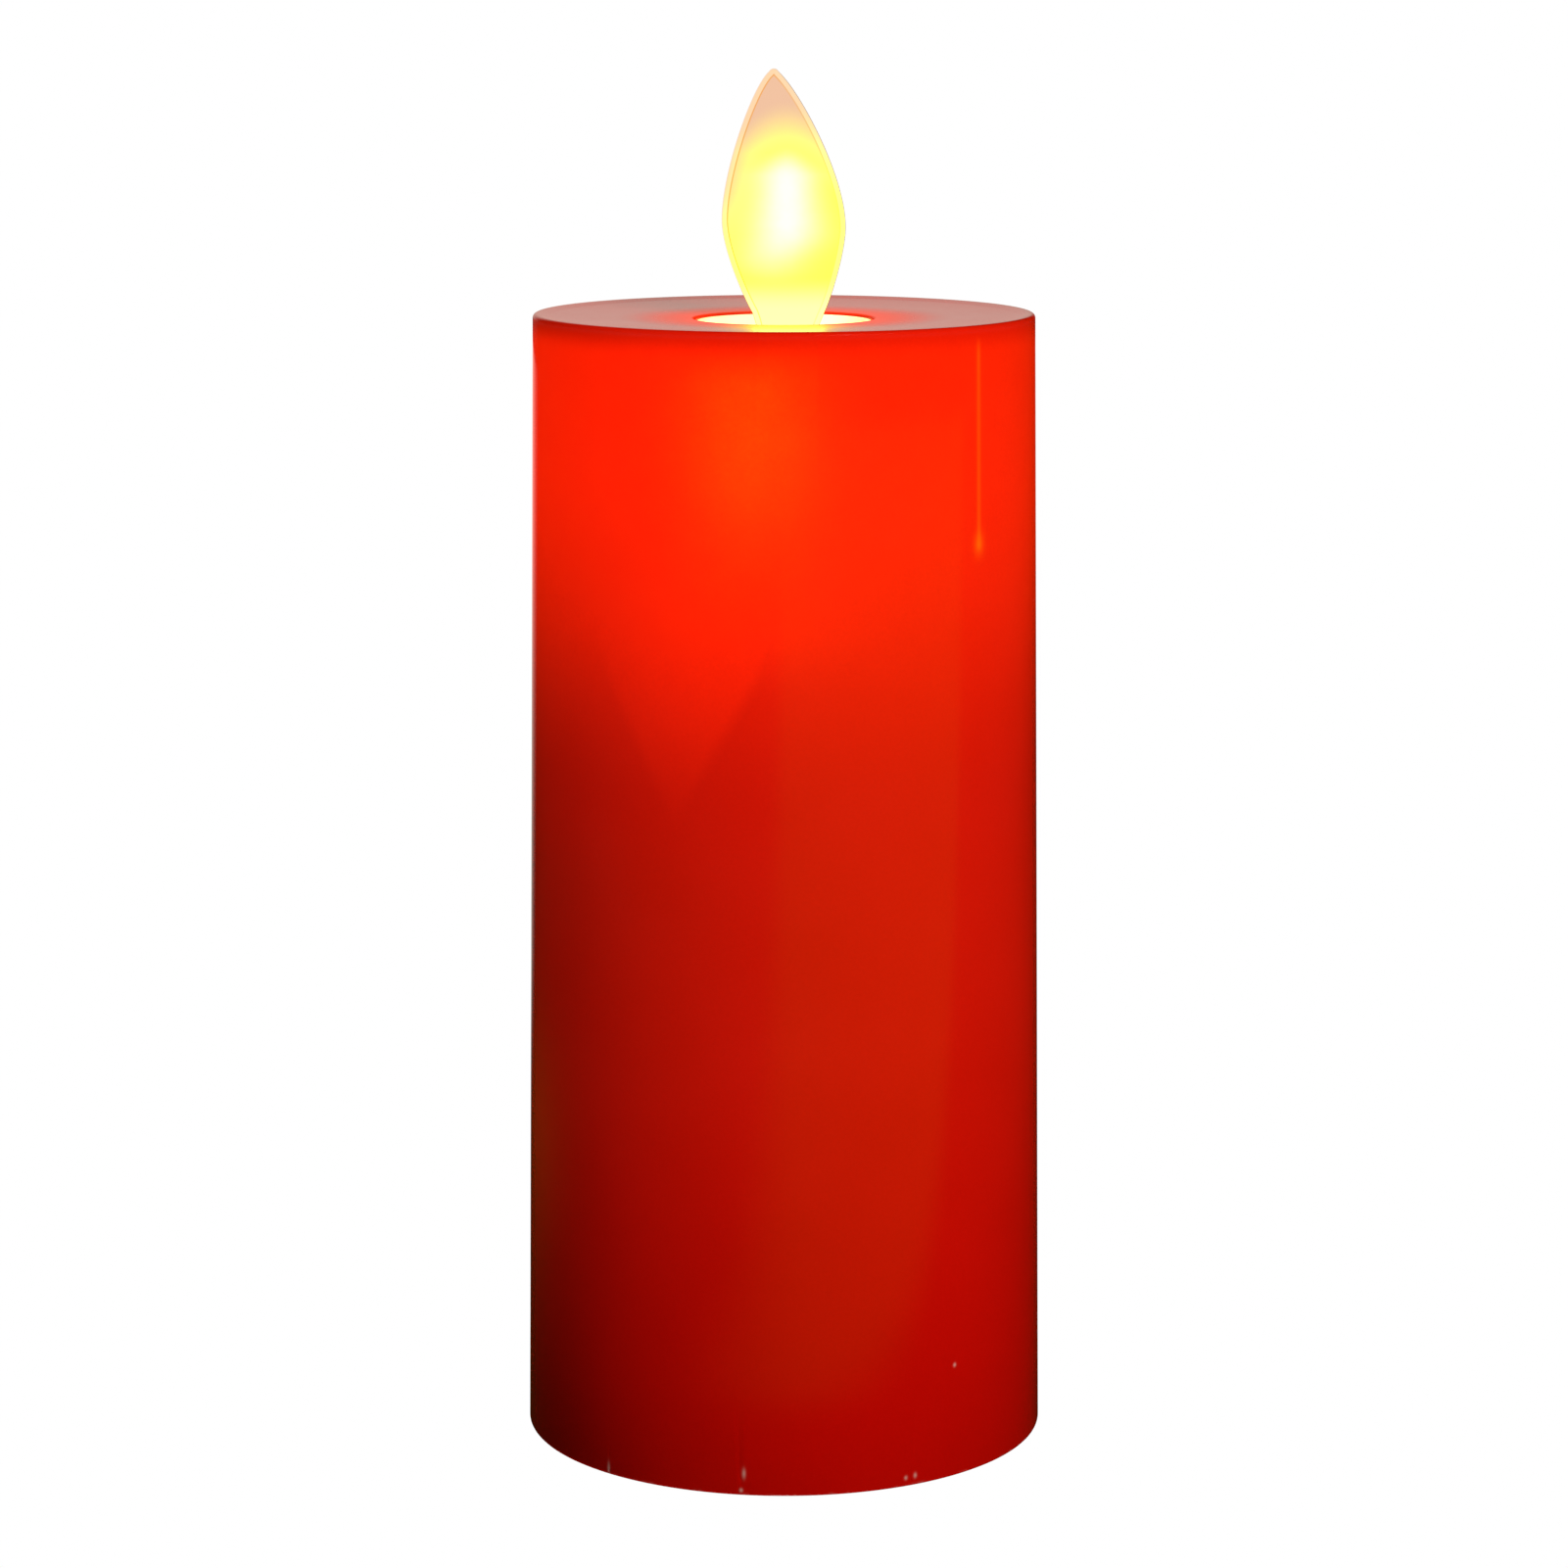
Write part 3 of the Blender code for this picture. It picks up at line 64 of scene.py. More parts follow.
LOG = logging.getLogger("candle")

Profile = list[tuple[float, float]]
Colour = tuple[float, float, float]
Piece = bpy.types.Object
Shape = bmesh.types.BMesh
Material = bpy.types.Material
Tree = bpy.types.NodeTree
Node = bpy.types.Node
Socket = bpy.types.NodeSocket


class Join(Enum):
    """How a tool changes a piece."""

    ON = "UNION"
    AWAY = "DIFFERENCE"


class Head(Enum):
    """Which way a screw's head faces: its axis, and the turn about X that lays it there."""

    DOWN = (2, 180)
    UP = (2, 0)
    FRONT = (1, 90)


def around(reach: float, azimuth: float, height: float = 0.0) -> Vector:
    """A point at a reach from the axis, its azimuth measured from the front to the right."""
    angle = math.radians(azimuth)
    return Vector((reach * math.sin(angle), -reach * math.cos(angle), height))


def arc(centre: tuple, radius: float, start: float, end: float, steps: int) -> Profile:
    """Points along a circle about a centre, from one angle to another in degrees."""
    angles = [math.radians(start + (end - start) * step / steps) for step in range(steps + 1)]
    return [(centre[0] + radius * math.cos(a), centre[1] + radius * math.sin(a)) for a in angles]


def node_box(node: str) -> tuple[Vector, Vector]:
    """The lowest and highest corners of a CAD node, in millimetres."""
    low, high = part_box(node)
    return low / MM, high / MM


# Mesh making


def keep(name: str, shape: Shape, sharp: float = 35.0) -> Piece:
    """Turn a bmesh into an object in the scene.

    Args:
        name: The object's name.
        shape: The bmesh, in millimetres, which is freed.
        sharp: The angle in degrees from which an edge stays sharp.

    Returns:
        The new object, at the origin.
    """
    bmesh.ops.recalc_face_normals(shape, faces=shape.faces)
    for corner in shape.verts:
        corner.co *= MM
    mesh = bpy.data.meshes.new(name)
    shape.to_mesh(mesh)
    shape.free()
    mesh.shade_smooth()
    mesh.set_sharp_from_angle(angle=math.radians(sharp))
    made = bpy.data.objects.new(name, mesh)
    bpy.context.scene.collection.objects.link(made)
    return made


def soften(profile: Profile, radius: float, steps: int = 4, closed: bool = True) -> Profile:
    """Round the corners of a profile.

    Args:
        profile: The corners in order.
        radius: How far from each corner the rounding starts, at most.
        steps: How many pieces each rounding has.
        closed: Whether the last corner joins the first.

    Returns:
        The rounded profile. The ends of an open one stay as they are.
    """
    count = len(profile)
    rounded: Profile = []
    for index, corner in enumerate(profile):
        if not closed and index in (0, count - 1):
            rounded.append(corner)
            continue
        here = Vector(corner)
        before = Vector(profile[index - 1]) - here
        after = Vector(profile[(index + 1) % count]) - here
        start = here + before.normalized() * min(radius, before.length * 0.45)
        end = here + after.normalized() * min(radius, after.length * 0.45)
        for step in range(steps + 1):
            share = step / steps
            point = start * (1 - share) ** 2 + here * 2 * share * (1 - share) + end * share**2
            rounded.append((point.x, point.y))
    return rounded


def lathe(name: str, profile: Profile, steps: int = 96, closed: bool = True) -> Piece:
    """Turn a profile of radius and height about Z.

    Args:
        name: The object's name.
        profile: Radius and height of each corner.
        steps: How many faces go round.
        closed: Whether the last corner joins the first. An open profile starts and ends
            on the axis.

    Returns:
        The turned object.
    """
    shape = bmesh.new()
    rings = []
    for radius, height in profile:
        if radius < TINY:
            rings.append([shape.verts.new((0.0, 0.0, height))])
            continue
        circle = arc((0.0, 0.0), radius, 0.0, 360.0, steps)[:-1]
        rings.append([shape.verts.new((x, y, height)) for x, y in circle])
    pairs = list(zip(rings, rings[1:]))
    if closed:
        pairs.append((rings[-1], rings[0]))
    for first, second in pairs:
        for step in range(steps):
            after = (step + 1) % steps
            if len(first) == 1:
                shape.faces.new((first[0], second[step], second[after]))
            elif len(second) == 1:
                shape.faces.new((first[step], second[0], first[after]))
            else:
                shape.faces.new((first[step], second[step], second[after], first[after]))
    return keep(name, shape)


def bevelled(shape: Shape, edges: list, radius: float) -> None:
    """Round edges of a bmesh by a radius."""
    if radius > 0:
        rounding = {"segments": 3, "profile": 0.5, "affect": "EDGES", "clamp_overlap": True}
        bmesh.ops.bevel(shape, geom=edges, offset=radius, **rounding)


def block(name: str, low: tuple, high: tuple, edge: float = 0.0) -> Piece:
    """A box from its low corner to its high corner, with rounded edges."""
    shape = bmesh.new()
    bmesh.ops.create_cube(shape, size=1.0)
    low_corner, high_corner = Vector(low), Vector(high)
    for corner in shape.verts:
        for side in range(3):
            share = corner.co[side] + 0.5
            corner.co[side] = low_corner[side] + (high_corner[side] - low_corner[side]) * share
    bevelled(shape, list(shape.edges), edge)
    return keep(name, shape)


def plate(name: str, outline: Profile, low: float, high: float, edge: float = 0.0) -> Piece:
    """A flat outline raised from one height to another, with rounded edges."""
    shape = bmesh.new()
    bottom = [shape.verts.new((x, y, low)) for x, y in outline]
    top = [shape.verts.new((x, y, high)) for x, y in outline]
    shape.faces.new(list(reversed(bottom)))
    shape.faces.new(top)
    for index in range(len(outline)):
        after = (index + 1) % len(outline)
        shape.faces.new((bottom[index], bottom[after], top[after], top[index]))
    rims = [e for e in shape.edges if abs(e.verts[0].co.z - e.verts[1].co.z) < TINY]
    bevelled(shape, rims, edge)
    return keep(name, shape)


def box_outline(low: tuple, high: tuple, corner: float, steps: int = 5) -> Profile:
    """A rectangle's outline with rounded corners."""
    square = [(low[0], low[1]), (high[0], low[1]), (high[0], high[1]), (low[0], high[1])]
    return soften(square, corner, steps)


def rod(
    name: str, radius: float, low: float, high: float, edge: float = 0.0, steps: int = 48
) -> Piece:
    """A round bar on the Z axis, with rounded ends."""
    profile = [(0.0, high), (radius, high), (radius, low), (0.0, low)]
    if edge > 0:
        profile = soften(profile, edge, closed=False)
    return lathe(name, profile, steps, closed=False)


def moved(piece: Piece, at: tuple, turn: tuple = (0, 0, 0)) -> Piece:
    """Turn a piece's mesh about the origin, in degrees, and shift it, in millimetres."""
    turns = Matrix.Identity(4)
    for angle, axis in zip(turn, "XYZ"):
        turns = Matrix.Rotation(math.radians(angle), 4, axis) @ turns
    piece.data.transform(Matrix.Translation(Vector(at) * MM) @ turns)
    return piece


def tube(name: str, points: list, radius: float, sides: int = 16) -> Piece:
    """Sweep a circle along points, with a domed cap at each end.

    Args:
        name: The object's name.
        points: The route in millimetres.
        radius: The tube's radius in millimetres.
        sides: How many faces go round.

    Returns:
        The swept object.
    """
    shape = bmesh.new()
    knots = [Vector(point) for point in points]
    ways = [(knots[1] - knots[0]).normalized()]
    for before, after in zip(knots, knots[2:]):
        ways.append((after - before).normalized())
    ways.append((knots[-1] - knots[-2]).normalized())
    side = ways[0].orthogonal().normalized()
    rings = []
    for knot, way in zip(knots, ways):
        side = (side - way * side.dot(way)).normalized()
        across = way.cross(side)
        circle = arc((0.0, 0.0), radius, 0.0, 360.0, sides)[:-1]
        rings.append([shape.verts.new(knot + side * x + across * y) for x, y in circle])
    for first, second in zip(rings, rings[1:]):
        for step in range(sides):
            after = (step + 1) % sides
            shape.faces.new((first[step], first[after], second[after], second[step]))
    shape.faces.new(list(reversed(rings[0])))
    shape.faces.new(rings[-1])
    return keep(name, shape, sharp=50.0)


def settle(piece: Piece) -> None:
    """Put a piece's modifiers into its mesh."""
    shown = piece.evaluated_get(bpy.context.evaluated_depsgraph_get())
    mesh = bpy.data.meshes.new_from_object(shown)
    piece.modifiers.clear()
    old = piece.data
    piece.data = mesh
    bpy.data.meshes.remove(old)


def combine(piece: Piece, way: Join, *tools: Piece) -> Piece:
    """Add tools to a piece or cut them away, and remove the tools."""
    for tool in tools:
        change = piece.modifiers.new(tool.name, "BOOLEAN")
        change.operation = way.value
        change.object = tool
        change.solver = "MANIFOLD"
    settle(piece)
    for tool in tools:
        mesh = tool.data
        bpy.data.objects.remove(tool, do_unlink=True)
        bpy.data.meshes.remove(mesh)
    return piece


def resmooth(piece: Piece, sharp: float) -> None:
    """Shade a cut piece smooth, apart from edges of at least so many degrees."""
    piece.data.shade_smooth()
    piece.data.set_sharp_from_angle(angle=math.radians(sharp))


def round_edges(piece: Piece, width: float, angle: float = 40.0) -> Piece:
    """Round a piece's sharp edges with modifiers that leave its mesh alone."""
    weld = piece.modifiers.new("Weld", "WELD")
    weld.merge_threshold = TINY * MM
    bevel = piece.modifiers.new("Round edges", "BEVEL")
    bevel.limit_method = "ANGLE"
    bevel.angle_limit = math.radians(angle)
    bevel.width = width * MM
    bevel.segments = 2
    bevel.harden_normals = True
    return piece


def smooth_tube(piece: Piece) -> Piece:
    """Make a coarse wire round with modifiers that leave its mesh alone."""
    weld = piece.modifiers.new("Weld", "WELD")
    weld.merge_threshold = TINY * MM
    finer = piece.modifiers.new("Finer", "SUBSURF")
    finer.levels = 1
    finer.render_levels = 1
    for face in piece.data.polygons:
        face.use_smooth = True
    return piece


# Shader building


class Signal:
    """A node's output that takes part in plain arithmetic."""

    def __init__(self, web: "Web", socket: Socket) -> None:
        """Hold a socket and the web that it belongs to."""
        self.web, self.socket = web, socket

    def __add__(self, other: object) -> "Signal":
        """This plus another."""
        return self.web.sum("ADD", self, other)

    def __sub__(self, other: object) -> "Signal":
        """This less another."""
        return self.web.sum("SUBTRACT", self, other)

    def __rsub__(self, other: object) -> "Signal":
        """Another less this."""
        return self.web.sum("SUBTRACT", other, self)

    def __mul__(self, other: object) -> "Signal":
        """This times another."""
        return self.web.sum("MULTIPLY", self, other)

    def __truediv__(self, other: object) -> "Signal":
        """This over another."""
        return self.web.sum("DIVIDE", self, other)

    def __rtruediv__(self, other: object) -> "Signal":
        """Another over this."""
        return self.web.sum("DIVIDE", other, self)

    __radd__ = __add__
    __rmul__ = __mul__


class Web:
    """Adds nodes to one node tree and joins them."""

    def __init__(self, tree: Tree) -> None:
        """Work on a tree."""
        self.tree = tree

    def add(self, kind: str, inputs: dict | None = None, **settings: object) -> Node:
        """Add a node.

        Args:
            kind: The node's type.
            inputs: A value or a socket for each input, by its name or number.
            **settings: The node's own properties.

        Returns:
            The node.
        """
        made = self.tree.nodes.new(kind)
        for name, value in settings.items():
            setattr(made, name, value)
        self.fill(made, inputs or {})
        return made

    def feed(self, socket: Socket, value: object) -> None:
        """Give an input a value or a link."""
        if isinstance(value, Signal):
            self.tree.links.new(value.socket, socket)
        elif isinstance(value, bpy.types.NodeSocket):
            self.tree.links.new(value, socket)
        elif isinstance(value, tuple) and len(value) == 3 and socket.type == "RGBA":
            socket.default_value = (*value, 1.0)
        else:
            socket.default_value = value

    def signals(self, node: Node) -> dict[str, Signal]:
        """A node's outputs by name."""
        return {output.name: Signal(self, output) for output in node.outputs}

    def fill(self, node: Node, inputs: dict) -> None:
        """Give several of a node's inputs their values or links."""
        for name, value in inputs.items():
            self.feed(node.inputs[name], value)

    def sum(self, operation: str, *values: object, clamp: bool = False) -> Signal:
        """Do arithmetic on values or sockets."""
        inputs = dict(enumerate(values))
        made = self.add("ShaderNodeMath", inputs, operation=operation, use_clamp=clamp)
        return Signal(self, made.outputs[0])

    def blend(self, share: object, first: object, second: object, mode: str = "MIX") -> Signal:
        """Mix two colours by a share."""
        made = self.add("ShaderNodeMix", data_type="RGBA", blend_type=mode)
        self.feed(made.inputs[0], share)
        self.feed(made.inputs[6], first)
        self.feed(made.inputs[7], second)
        return Signal(self, made.outputs[2])

    def ease(self, value: object, start: object, end: object) -> Signal:
        """Rise smoothly from 0 at the start to 1 at the end."""
        inputs = {"Value": value, "From Min": start, "From Max": end}
        made = self.add("ShaderNodeMapRange", inputs, interpolation_type="SMOOTHSTEP")
        return Signal(self, made.outputs["Result"])

    def bell(self, value: object, middle: float, width: float) -> Signal:
        """A bell curve that is 1 at its middle."""
        offset = self.sum("SUBTRACT", value, middle) / width
        return self.sum("EXPONENT", offset * offset * -1.0)

    def noise(self, scale: object, detail: float = 2.0, vector: Socket | None = None) -> Signal:
        """Noise from 0 to 1 over the object's own coordinates."""
        where = vector or self.add("ShaderNodeTexCoord").outputs["Object"]
        inputs = {"Vector": where, "Scale": scale, "Detail": detail}
        return Signal(self, self.add("ShaderNodeTexNoise", inputs).outputs["Fac"])


def new_group(name: str, takes: dict[str, object], gives: dict[str, str]) -> tuple:
    """Start a node group.

    Args:
        name: The group's name.
        takes: The inputs by name, each with its value when it isn't set.
        gives: The outputs by name, each with its kind of socket.

    Returns:
        The tree, its web, its inputs by name and its output node.
    """
    tree = bpy.data.node_groups.new(name, "ShaderNodeTree")
    for label, value in takes.items():
        kind = "NodeSocketColor" if isinstance(value, tuple) else "NodeSocketFloat"
        socket = tree.interface.new_socket(label, in_out="INPUT", socket_type=kind)
        socket.default_value = (*value, 1.0) if isinstance(value, tuple) else value
    for label, kind in gives.items():
        tree.interface.new_socket(label, in_out="OUTPUT", socket_type=kind)
    web = Web(tree)
    start = web.add("NodeGroupInput")
    end = web.add("NodeGroupOutput")
    return tree, web, web.signals(start), end


FINISH_OUTPUTS = {
    "Colour": "NodeSocketColor", "Roughness": "NodeSocketFloat", "Height": "NodeSocketFloat",
}


@functools.cache
def moulded_grain() -> Tree:
    """The cloudy tone, fine grain and uneven shine of moulded plastic."""
    takes = {
        "Colour": (0.5, 0.5, 0.5), "Tone Shift": 0.06, "Grain Size": 0.4, "Roughness": 0.4,
        "Shine Spread": 0.06,
    }
    tree, web, given, end = new_group("Moulded grain", takes, FINISH_OUTPUTS)
    clouds = web.noise(90.0, 3.0)
    fine = 1.0 / MM / given["Grain Size"]
    grain = web.noise(fine, 2.0)
    tone = (clouds - 0.5) * given["Tone Shift"] + 1.0
    speck = (grain - 0.5) * given["Tone Shift"] + tone
    scaled = web.add("ShaderNodeVectorMath", {0: given["Colour"]}, operation="SCALE")
    web.feed(scaled.inputs["Scale"], speck)
    spread = (clouds - 0.5) * given["Shine Spread"]
    shine = web.sum("ADD", given["Roughness"], spread, clamp=True)
    web.fill(end, {"Colour": scaled.outputs[0], "Roughness": shine, "Height": grain})
    return tree


@functools.cache
def metal_grain() -> Tree:
    """The drawn lines and light tarnish of plated metal."""
    takes = {
        "Colour": (0.6, 0.6, 0.6), "Tarnish": (0.3, 0.25, 0.2), "Tarnish Share": 0.25,
        "Roughness": 0.3, "Line Size": 0.12,
    }
    tree, web, given, end = new_group("Metal grain", takes, FINISH_OUTPUTS)
    where = web.add("ShaderNodeTexCoord").outputs["Object"]
    stretch = {"Vector": where, "Scale": (1.0, 1.0, 0.06)}
    long = web.add("ShaderNodeMapping", stretch).outputs["Vector"]
    lines = web.noise(1.0 / MM / given["Line Size"], 2.0, long)
    patches = web.ease(web.noise(260.0, 4.0), 0.48, 0.72)
    share = patches * given["Tarnish Share"]
    rough = (lines - 0.5) * 0.18 + given["Roughness"]
    web.fill(
        end,
        {
            "Colour": web.blend(share, given["Colour"], given["Tarnish"]),
            "Roughness": web.sum("MULTIPLY_ADD", share, 0.3, rough, clamp=True), "Height": lines,
        },
    )
    return tree


@functools.cache
def rubbed_edges() -> Tree:
    """Paler colour where handling has rubbed a piece's raised edges."""
    takes = {"Colour": (0.5, 0.5, 0.5), "Worn Colour": (0.8, 0.8, 0.8), "Wear": 0.3}
    tree, web, given, end = new_group("Rubbed edges", takes, {"Colour": "NodeSocketColor"})
    raised = web.add("ShaderNodeNewGeometry").outputs["Pointiness"]
    edge = web.ease(raised, 0.52, 0.62)
    broken = web.ease(web.noise(700.0, 3.0), 0.4, 0.65)
    share = edge * broken * given["Wear"]
    colour = web.blend(share, given["Colour"], given["Worn Colour"])
    web.feed(end.inputs["Colour"], colour)
    return tree


@functools.cache
def settled_dust() -> Tree:
    """Fine dust on faces that look up."""
    takes = {
        "Colour": (0.5, 0.5, 0.5), "Roughness": 0.4, "Dust Colour": (0.6, 0.58, 0.55), "Dust": 0.1,
    }
    gives = {"Colour": "NodeSocketColor", "Roughness": "NodeSocketFloat"}
    tree, web, given, end = new_group("Settled dust", takes, gives)
    normal = web.add("ShaderNodeTexCoord").outputs["Normal"]
    up = web.add("ShaderNodeSeparateXYZ", {"Vector": normal}).outputs["Z"]
    flecks = web.ease(web.noise(1500.0, 3.0), 0.45, 0.75)
    share = web.ease(up, 0.2, 0.9) * flecks * given["Dust"]
    web.feed(end.inputs["Colour"], web.blend(share, given["Colour"], given["Dust Colour"]))
    rough = web.sum("MULTIPLY_ADD", share, 0.5, given["Roughness"], clamp=True)
    web.feed(end.inputs["Roughness"], rough)
    return tree


def spot(web: Web) -> tuple[Signal, Signal, Signal]:
    """The place on the object in millimetres: x, y and z."""
    where = web.add("ShaderNodeTexCoord").outputs["Object"]
    scaled = web.add("ShaderNodeVectorMath", {0: where}, operation="SCALE")
    scaled.inputs["Scale"].default_value = 1.0 / MM
    split = web.signals(web.add("ShaderNodeSeparateXYZ", {"Vector": scaled.outputs[0]}))
    return split["X"], split["Y"], split["Z"]


def polar(web: Web, x: Signal, y: Signal) -> tuple[Signal, Signal]:
    """The reach from the axis and the azimuth from the front to the right, in degrees."""
    reach = web.sum("SQRT", x * x + y * y)
    angle = web.sum("ARCTAN2", x, y * -1.0)
    return reach, web.sum("DEGREES", angle)


def nearest(web: Web, azimuth: Signal, middle: float, spacing: float) -> Signal:
    """The signed angle to the nearest of the marks that stand a spacing apart."""
    shifted = azimuth - middle
    return web.sum("WRAP", shifted, spacing / 2, -spacing / 2)


@functools.cache
def candle_light() -> Tree:
    """The lamp's light as it shows through the red body and its top."""
    takes = {"Strength": 1.0, "Mottle": 0.05}
    tree, web, given, end = new_group("Candle light", takes, {"Light": "NodeSocketColor"})
    x, y, z = spot(web)
    reach, azimuth = polar(web, x, y)
    side = x / web.sum("MAXIMUM", reach, 1.0)
    right = web.ease(side, -0.75, 0.75)
    # the light fades slowly down the body
    body = web.ease(z + right, 70.5, 105.5)
    # tongues of light between the shadows of the module's ears
    off = web.sum("ABSOLUTE", nearest(web, azimuth, -24.3, 120.0))
    edge = off * 0.8 + 69.4
    inside = web.ease(z - edge, -1.6, 2.4)
    inside = web.sum("MAXIMUM", inside, web.ease(z, 82.5, 89.5))
    facing = web.bell(azimuth, -13.0, 26.0) * 0.34
    span = web.ease(z, 64.0, 90.0) * web.ease(z, 101.0, 88.0)
    tongue = inside * facing * span
    light = web.sum("ADD", body, tongue, clamp=True)
    # dimmer on the right, and a hot patch where the lamp is nearest
    level = right * -0.25 + 0.58
    hot = web.bell(azimuth, -7.5, 13.5) * web.bell(z, 109.0, 11.5)
    hot = hot * web.ease(z, 118.4, 113.5)
    # the lamp's holder shows as a faint upright band of painted light
    band = web.ease(azimuth, -6.3, -5.5) * web.ease(azimuth, 7.7, 6.9)
    band = band * web.ease(z, 102.0, 109.0)
    rim = web.ease(z, 119.0, 116.0)
    shade = rim * 0.8 + 0.2
    mottle = web.noise(420.0, 3.0) + web.noise(2600.0, 1.0)
    uneven = (mottle - 1.0) * given["Mottle"] + 1.0
    red = (hot * 0.12 + level) * light
    left_low = (1.0 - right) * web.ease(z, 60.0, 73.0)
    red = left_low * 0.04 + red
    red = red * (shade * uneven)
    green = hot * 0.036 + 0.0095
    green = band * 0.0022 + green
    speckle = (uneven - 1.0) * 3.0 + 1.0
    green = green * light * (shade * speckle)
    # bright lines where the module's bosses meet the wall
    line = nearest(web, azimuth, 48.3, 180.0) * 0.46
    stretch = web.ease(z, 96.2, 96.9) * web.ease(z, 118.2, 116.0)
    streak = web.bell(line, 0.0, 0.28) * stretch
    bloom = web.bell(line, 0.0, 0.7) * web.bell(z, 97.0, 1.1)
    spill = streak * 0.6 + bloom * 0.9
    red = spill * 0.2 + red
    green = spill * 0.075 + green
    sides = web.add("ShaderNodeCombineColor", {"Red": red, "Green": green, "Blue": 0.0})
    # the top plate glows around the well
    near = web.ease(reach, 17.5, 8.8)
    flat = web.ease(z, 118.2, 118.4)
    inner = web.ease(reach, 25.6, 24.8)
    top_red = near * 0.52 + 0.12
    top_green = near * 0.035 + 0.002
    # a pool of the lamp's yellow light on the ring in front of the flame
    across = web.sum("MULTIPLY", web.bell(x, 0.25, 4.3), 1.6, clamp=True)
    ahead = web.ease(y, -9.0, -10.4) * web.ease(y, -27.0, -11.0)
    pool = ahead * across
    top_red = pool * 0.52 + top_red
    top_green = pool * 0.5 + top_green
    top = web.add("ShaderNodeCombineColor", {"Red": top_red, "Green": top_green, "Blue": 0.003})
    share = flat * inner
    both = web.blend(share, sides.outputs[0], top.outputs[0])
    lit = web.add("ShaderNodeVectorMath", {0: both}, operation="SCALE")
    web.feed(lit.inputs["Scale"], given["Strength"])
    web.feed(end.inputs["Light"], lit.outputs[0])
    return tree


@functools.cache
def flame_light() -> Tree:
    """The lamp's light on the flame: white core, yellow sides and a peach tip."""
    takes = {
        "Yellow": (1.0, 0.94, 0.05), "Peach": (0.327, 0.205, 0.125), "Core": (1.0, 1.0, 0.92),
        "Foot": (1.0, 0.97, 0.27), "Left": (1.0, 1.0, 1.0), "Right": (1.0, 1.0, 1.0),
    }
    tree, web, given, end = new_group("Flame light", takes, {"Light": "NodeSocketColor"})
    x, _, z = spot(web)
    height = z - 119.0
    middle = x - 0.3
    arch = middle * middle * 0.12
    tip = web.ease(height + arch, 14.0, 22.0)
    # warmer towards the left edge, which curves in with the height
    above = height - 9.6
    bend = above * above * -0.0215
    inset = x + 6.44 + bend
    margin = web.sum("EXPONENT", inset / -3.3)
    left = margin * web.ease(height, 4.0, 14.0)
    warm = web.sum("MAXIMUM", tip, left * 0.95)
    colour = web.blend(web.sum("ADD", warm, 0.0, clamp=True), given["Yellow"], given["Peach"])
    room = web.sum("MAXIMUM", 16.8 - height, 0.0)
    half = web.sum("MINIMUM", room, 2.6) * 0.6 + 1.0
    half = web.ease(height, 13.0, 7.0) * 0.6 + half
    lean = web.ease(height, 8.5, 4.5) * 1.5
    across = (x - 0.3 + lean) / half
    spread = web.sum("EXPONENT", across * across * -1.0)
    along = web.ease(height, 17.2, 13.6) * web.ease(height, 2.2, 9.6)
    mottle = (web.noise(900.0) - 0.5) * 0.16 + 1.0
    core = web.sum("MULTIPLY", spread * along, mottle, clamp=True)
    colour = web.blend(core, colour, given["Core"])
    foot = web.ease(height, 3.8, 0.2)
    colour = web.blend(foot, colour, given["Foot"])
    tint = web.blend(web.ease(x, -1.5, 0.5), given["Left"], given["Right"])
    web.feed(end.inputs["Light"], web.blend(1.0, colour, tint, "MULTIPLY"))
    return tree


def behind_window(web: Web, x: Signal, y: Signal) -> Signal:
    """The share of a direction that lies in the bright backdrop behind the candle."""
    angle = web.sum("DEGREES", web.sum("ARCTAN2", x, y))
    return web.ease(angle, -31.0, -6.0) * web.ease(angle, 14.0, 1.0)


def fresh_material(name: str) -> tuple[Material, Web, Node]:
    """A new material with its web and its principled shader."""
    material = bpy.data.materials.new(name)
    material.use_nodes = True
    web = Web(material.node_tree)
    return material, web, material.node_tree.nodes["Principled BSDF"]


def placed(web: Web, tree: Tree, inputs: dict) -> dict[str, Signal]:
    """Place a node group in a material and return its outputs."""
    made = web.add("ShaderNodeGroup", node_tree=tree)
    web.fill(made, inputs)
    return web.signals(made)


MOULDED_INPUTS = ("Colour", "Tone Shift", "Grain Size", "Roughness", "Shine Spread")
DRAWN_INPUTS = ("Colour", "Tarnish", "Tarnish Share", "Roughness", "Line Size")


def moulded(web: Web, *values: object) -> dict[str, Signal]:
    """Place the moulded grain with its values in order."""
    return placed(web, moulded_grain(), dict(zip(MOULDED_INPUTS, values)))


def drawn(web: Web, *values: object) -> dict[str, Signal]:
    """Place the metal grain with its values in order."""
    return placed(web, metal_grain(), dict(zip(DRAWN_INPUTS, values)))


def bumped(web: Web, shader: Node, height: Signal, strength: float, depth: float) -> None:
    """Feed a shader's normal from a height, with its depth in millimetres."""
    inputs = {"Height": height, "Strength": strength, "Distance": depth * MM}
    bump = web.add("ShaderNodeBump", inputs)
    web.feed(shader.inputs["Normal"], bump.outputs["Normal"])


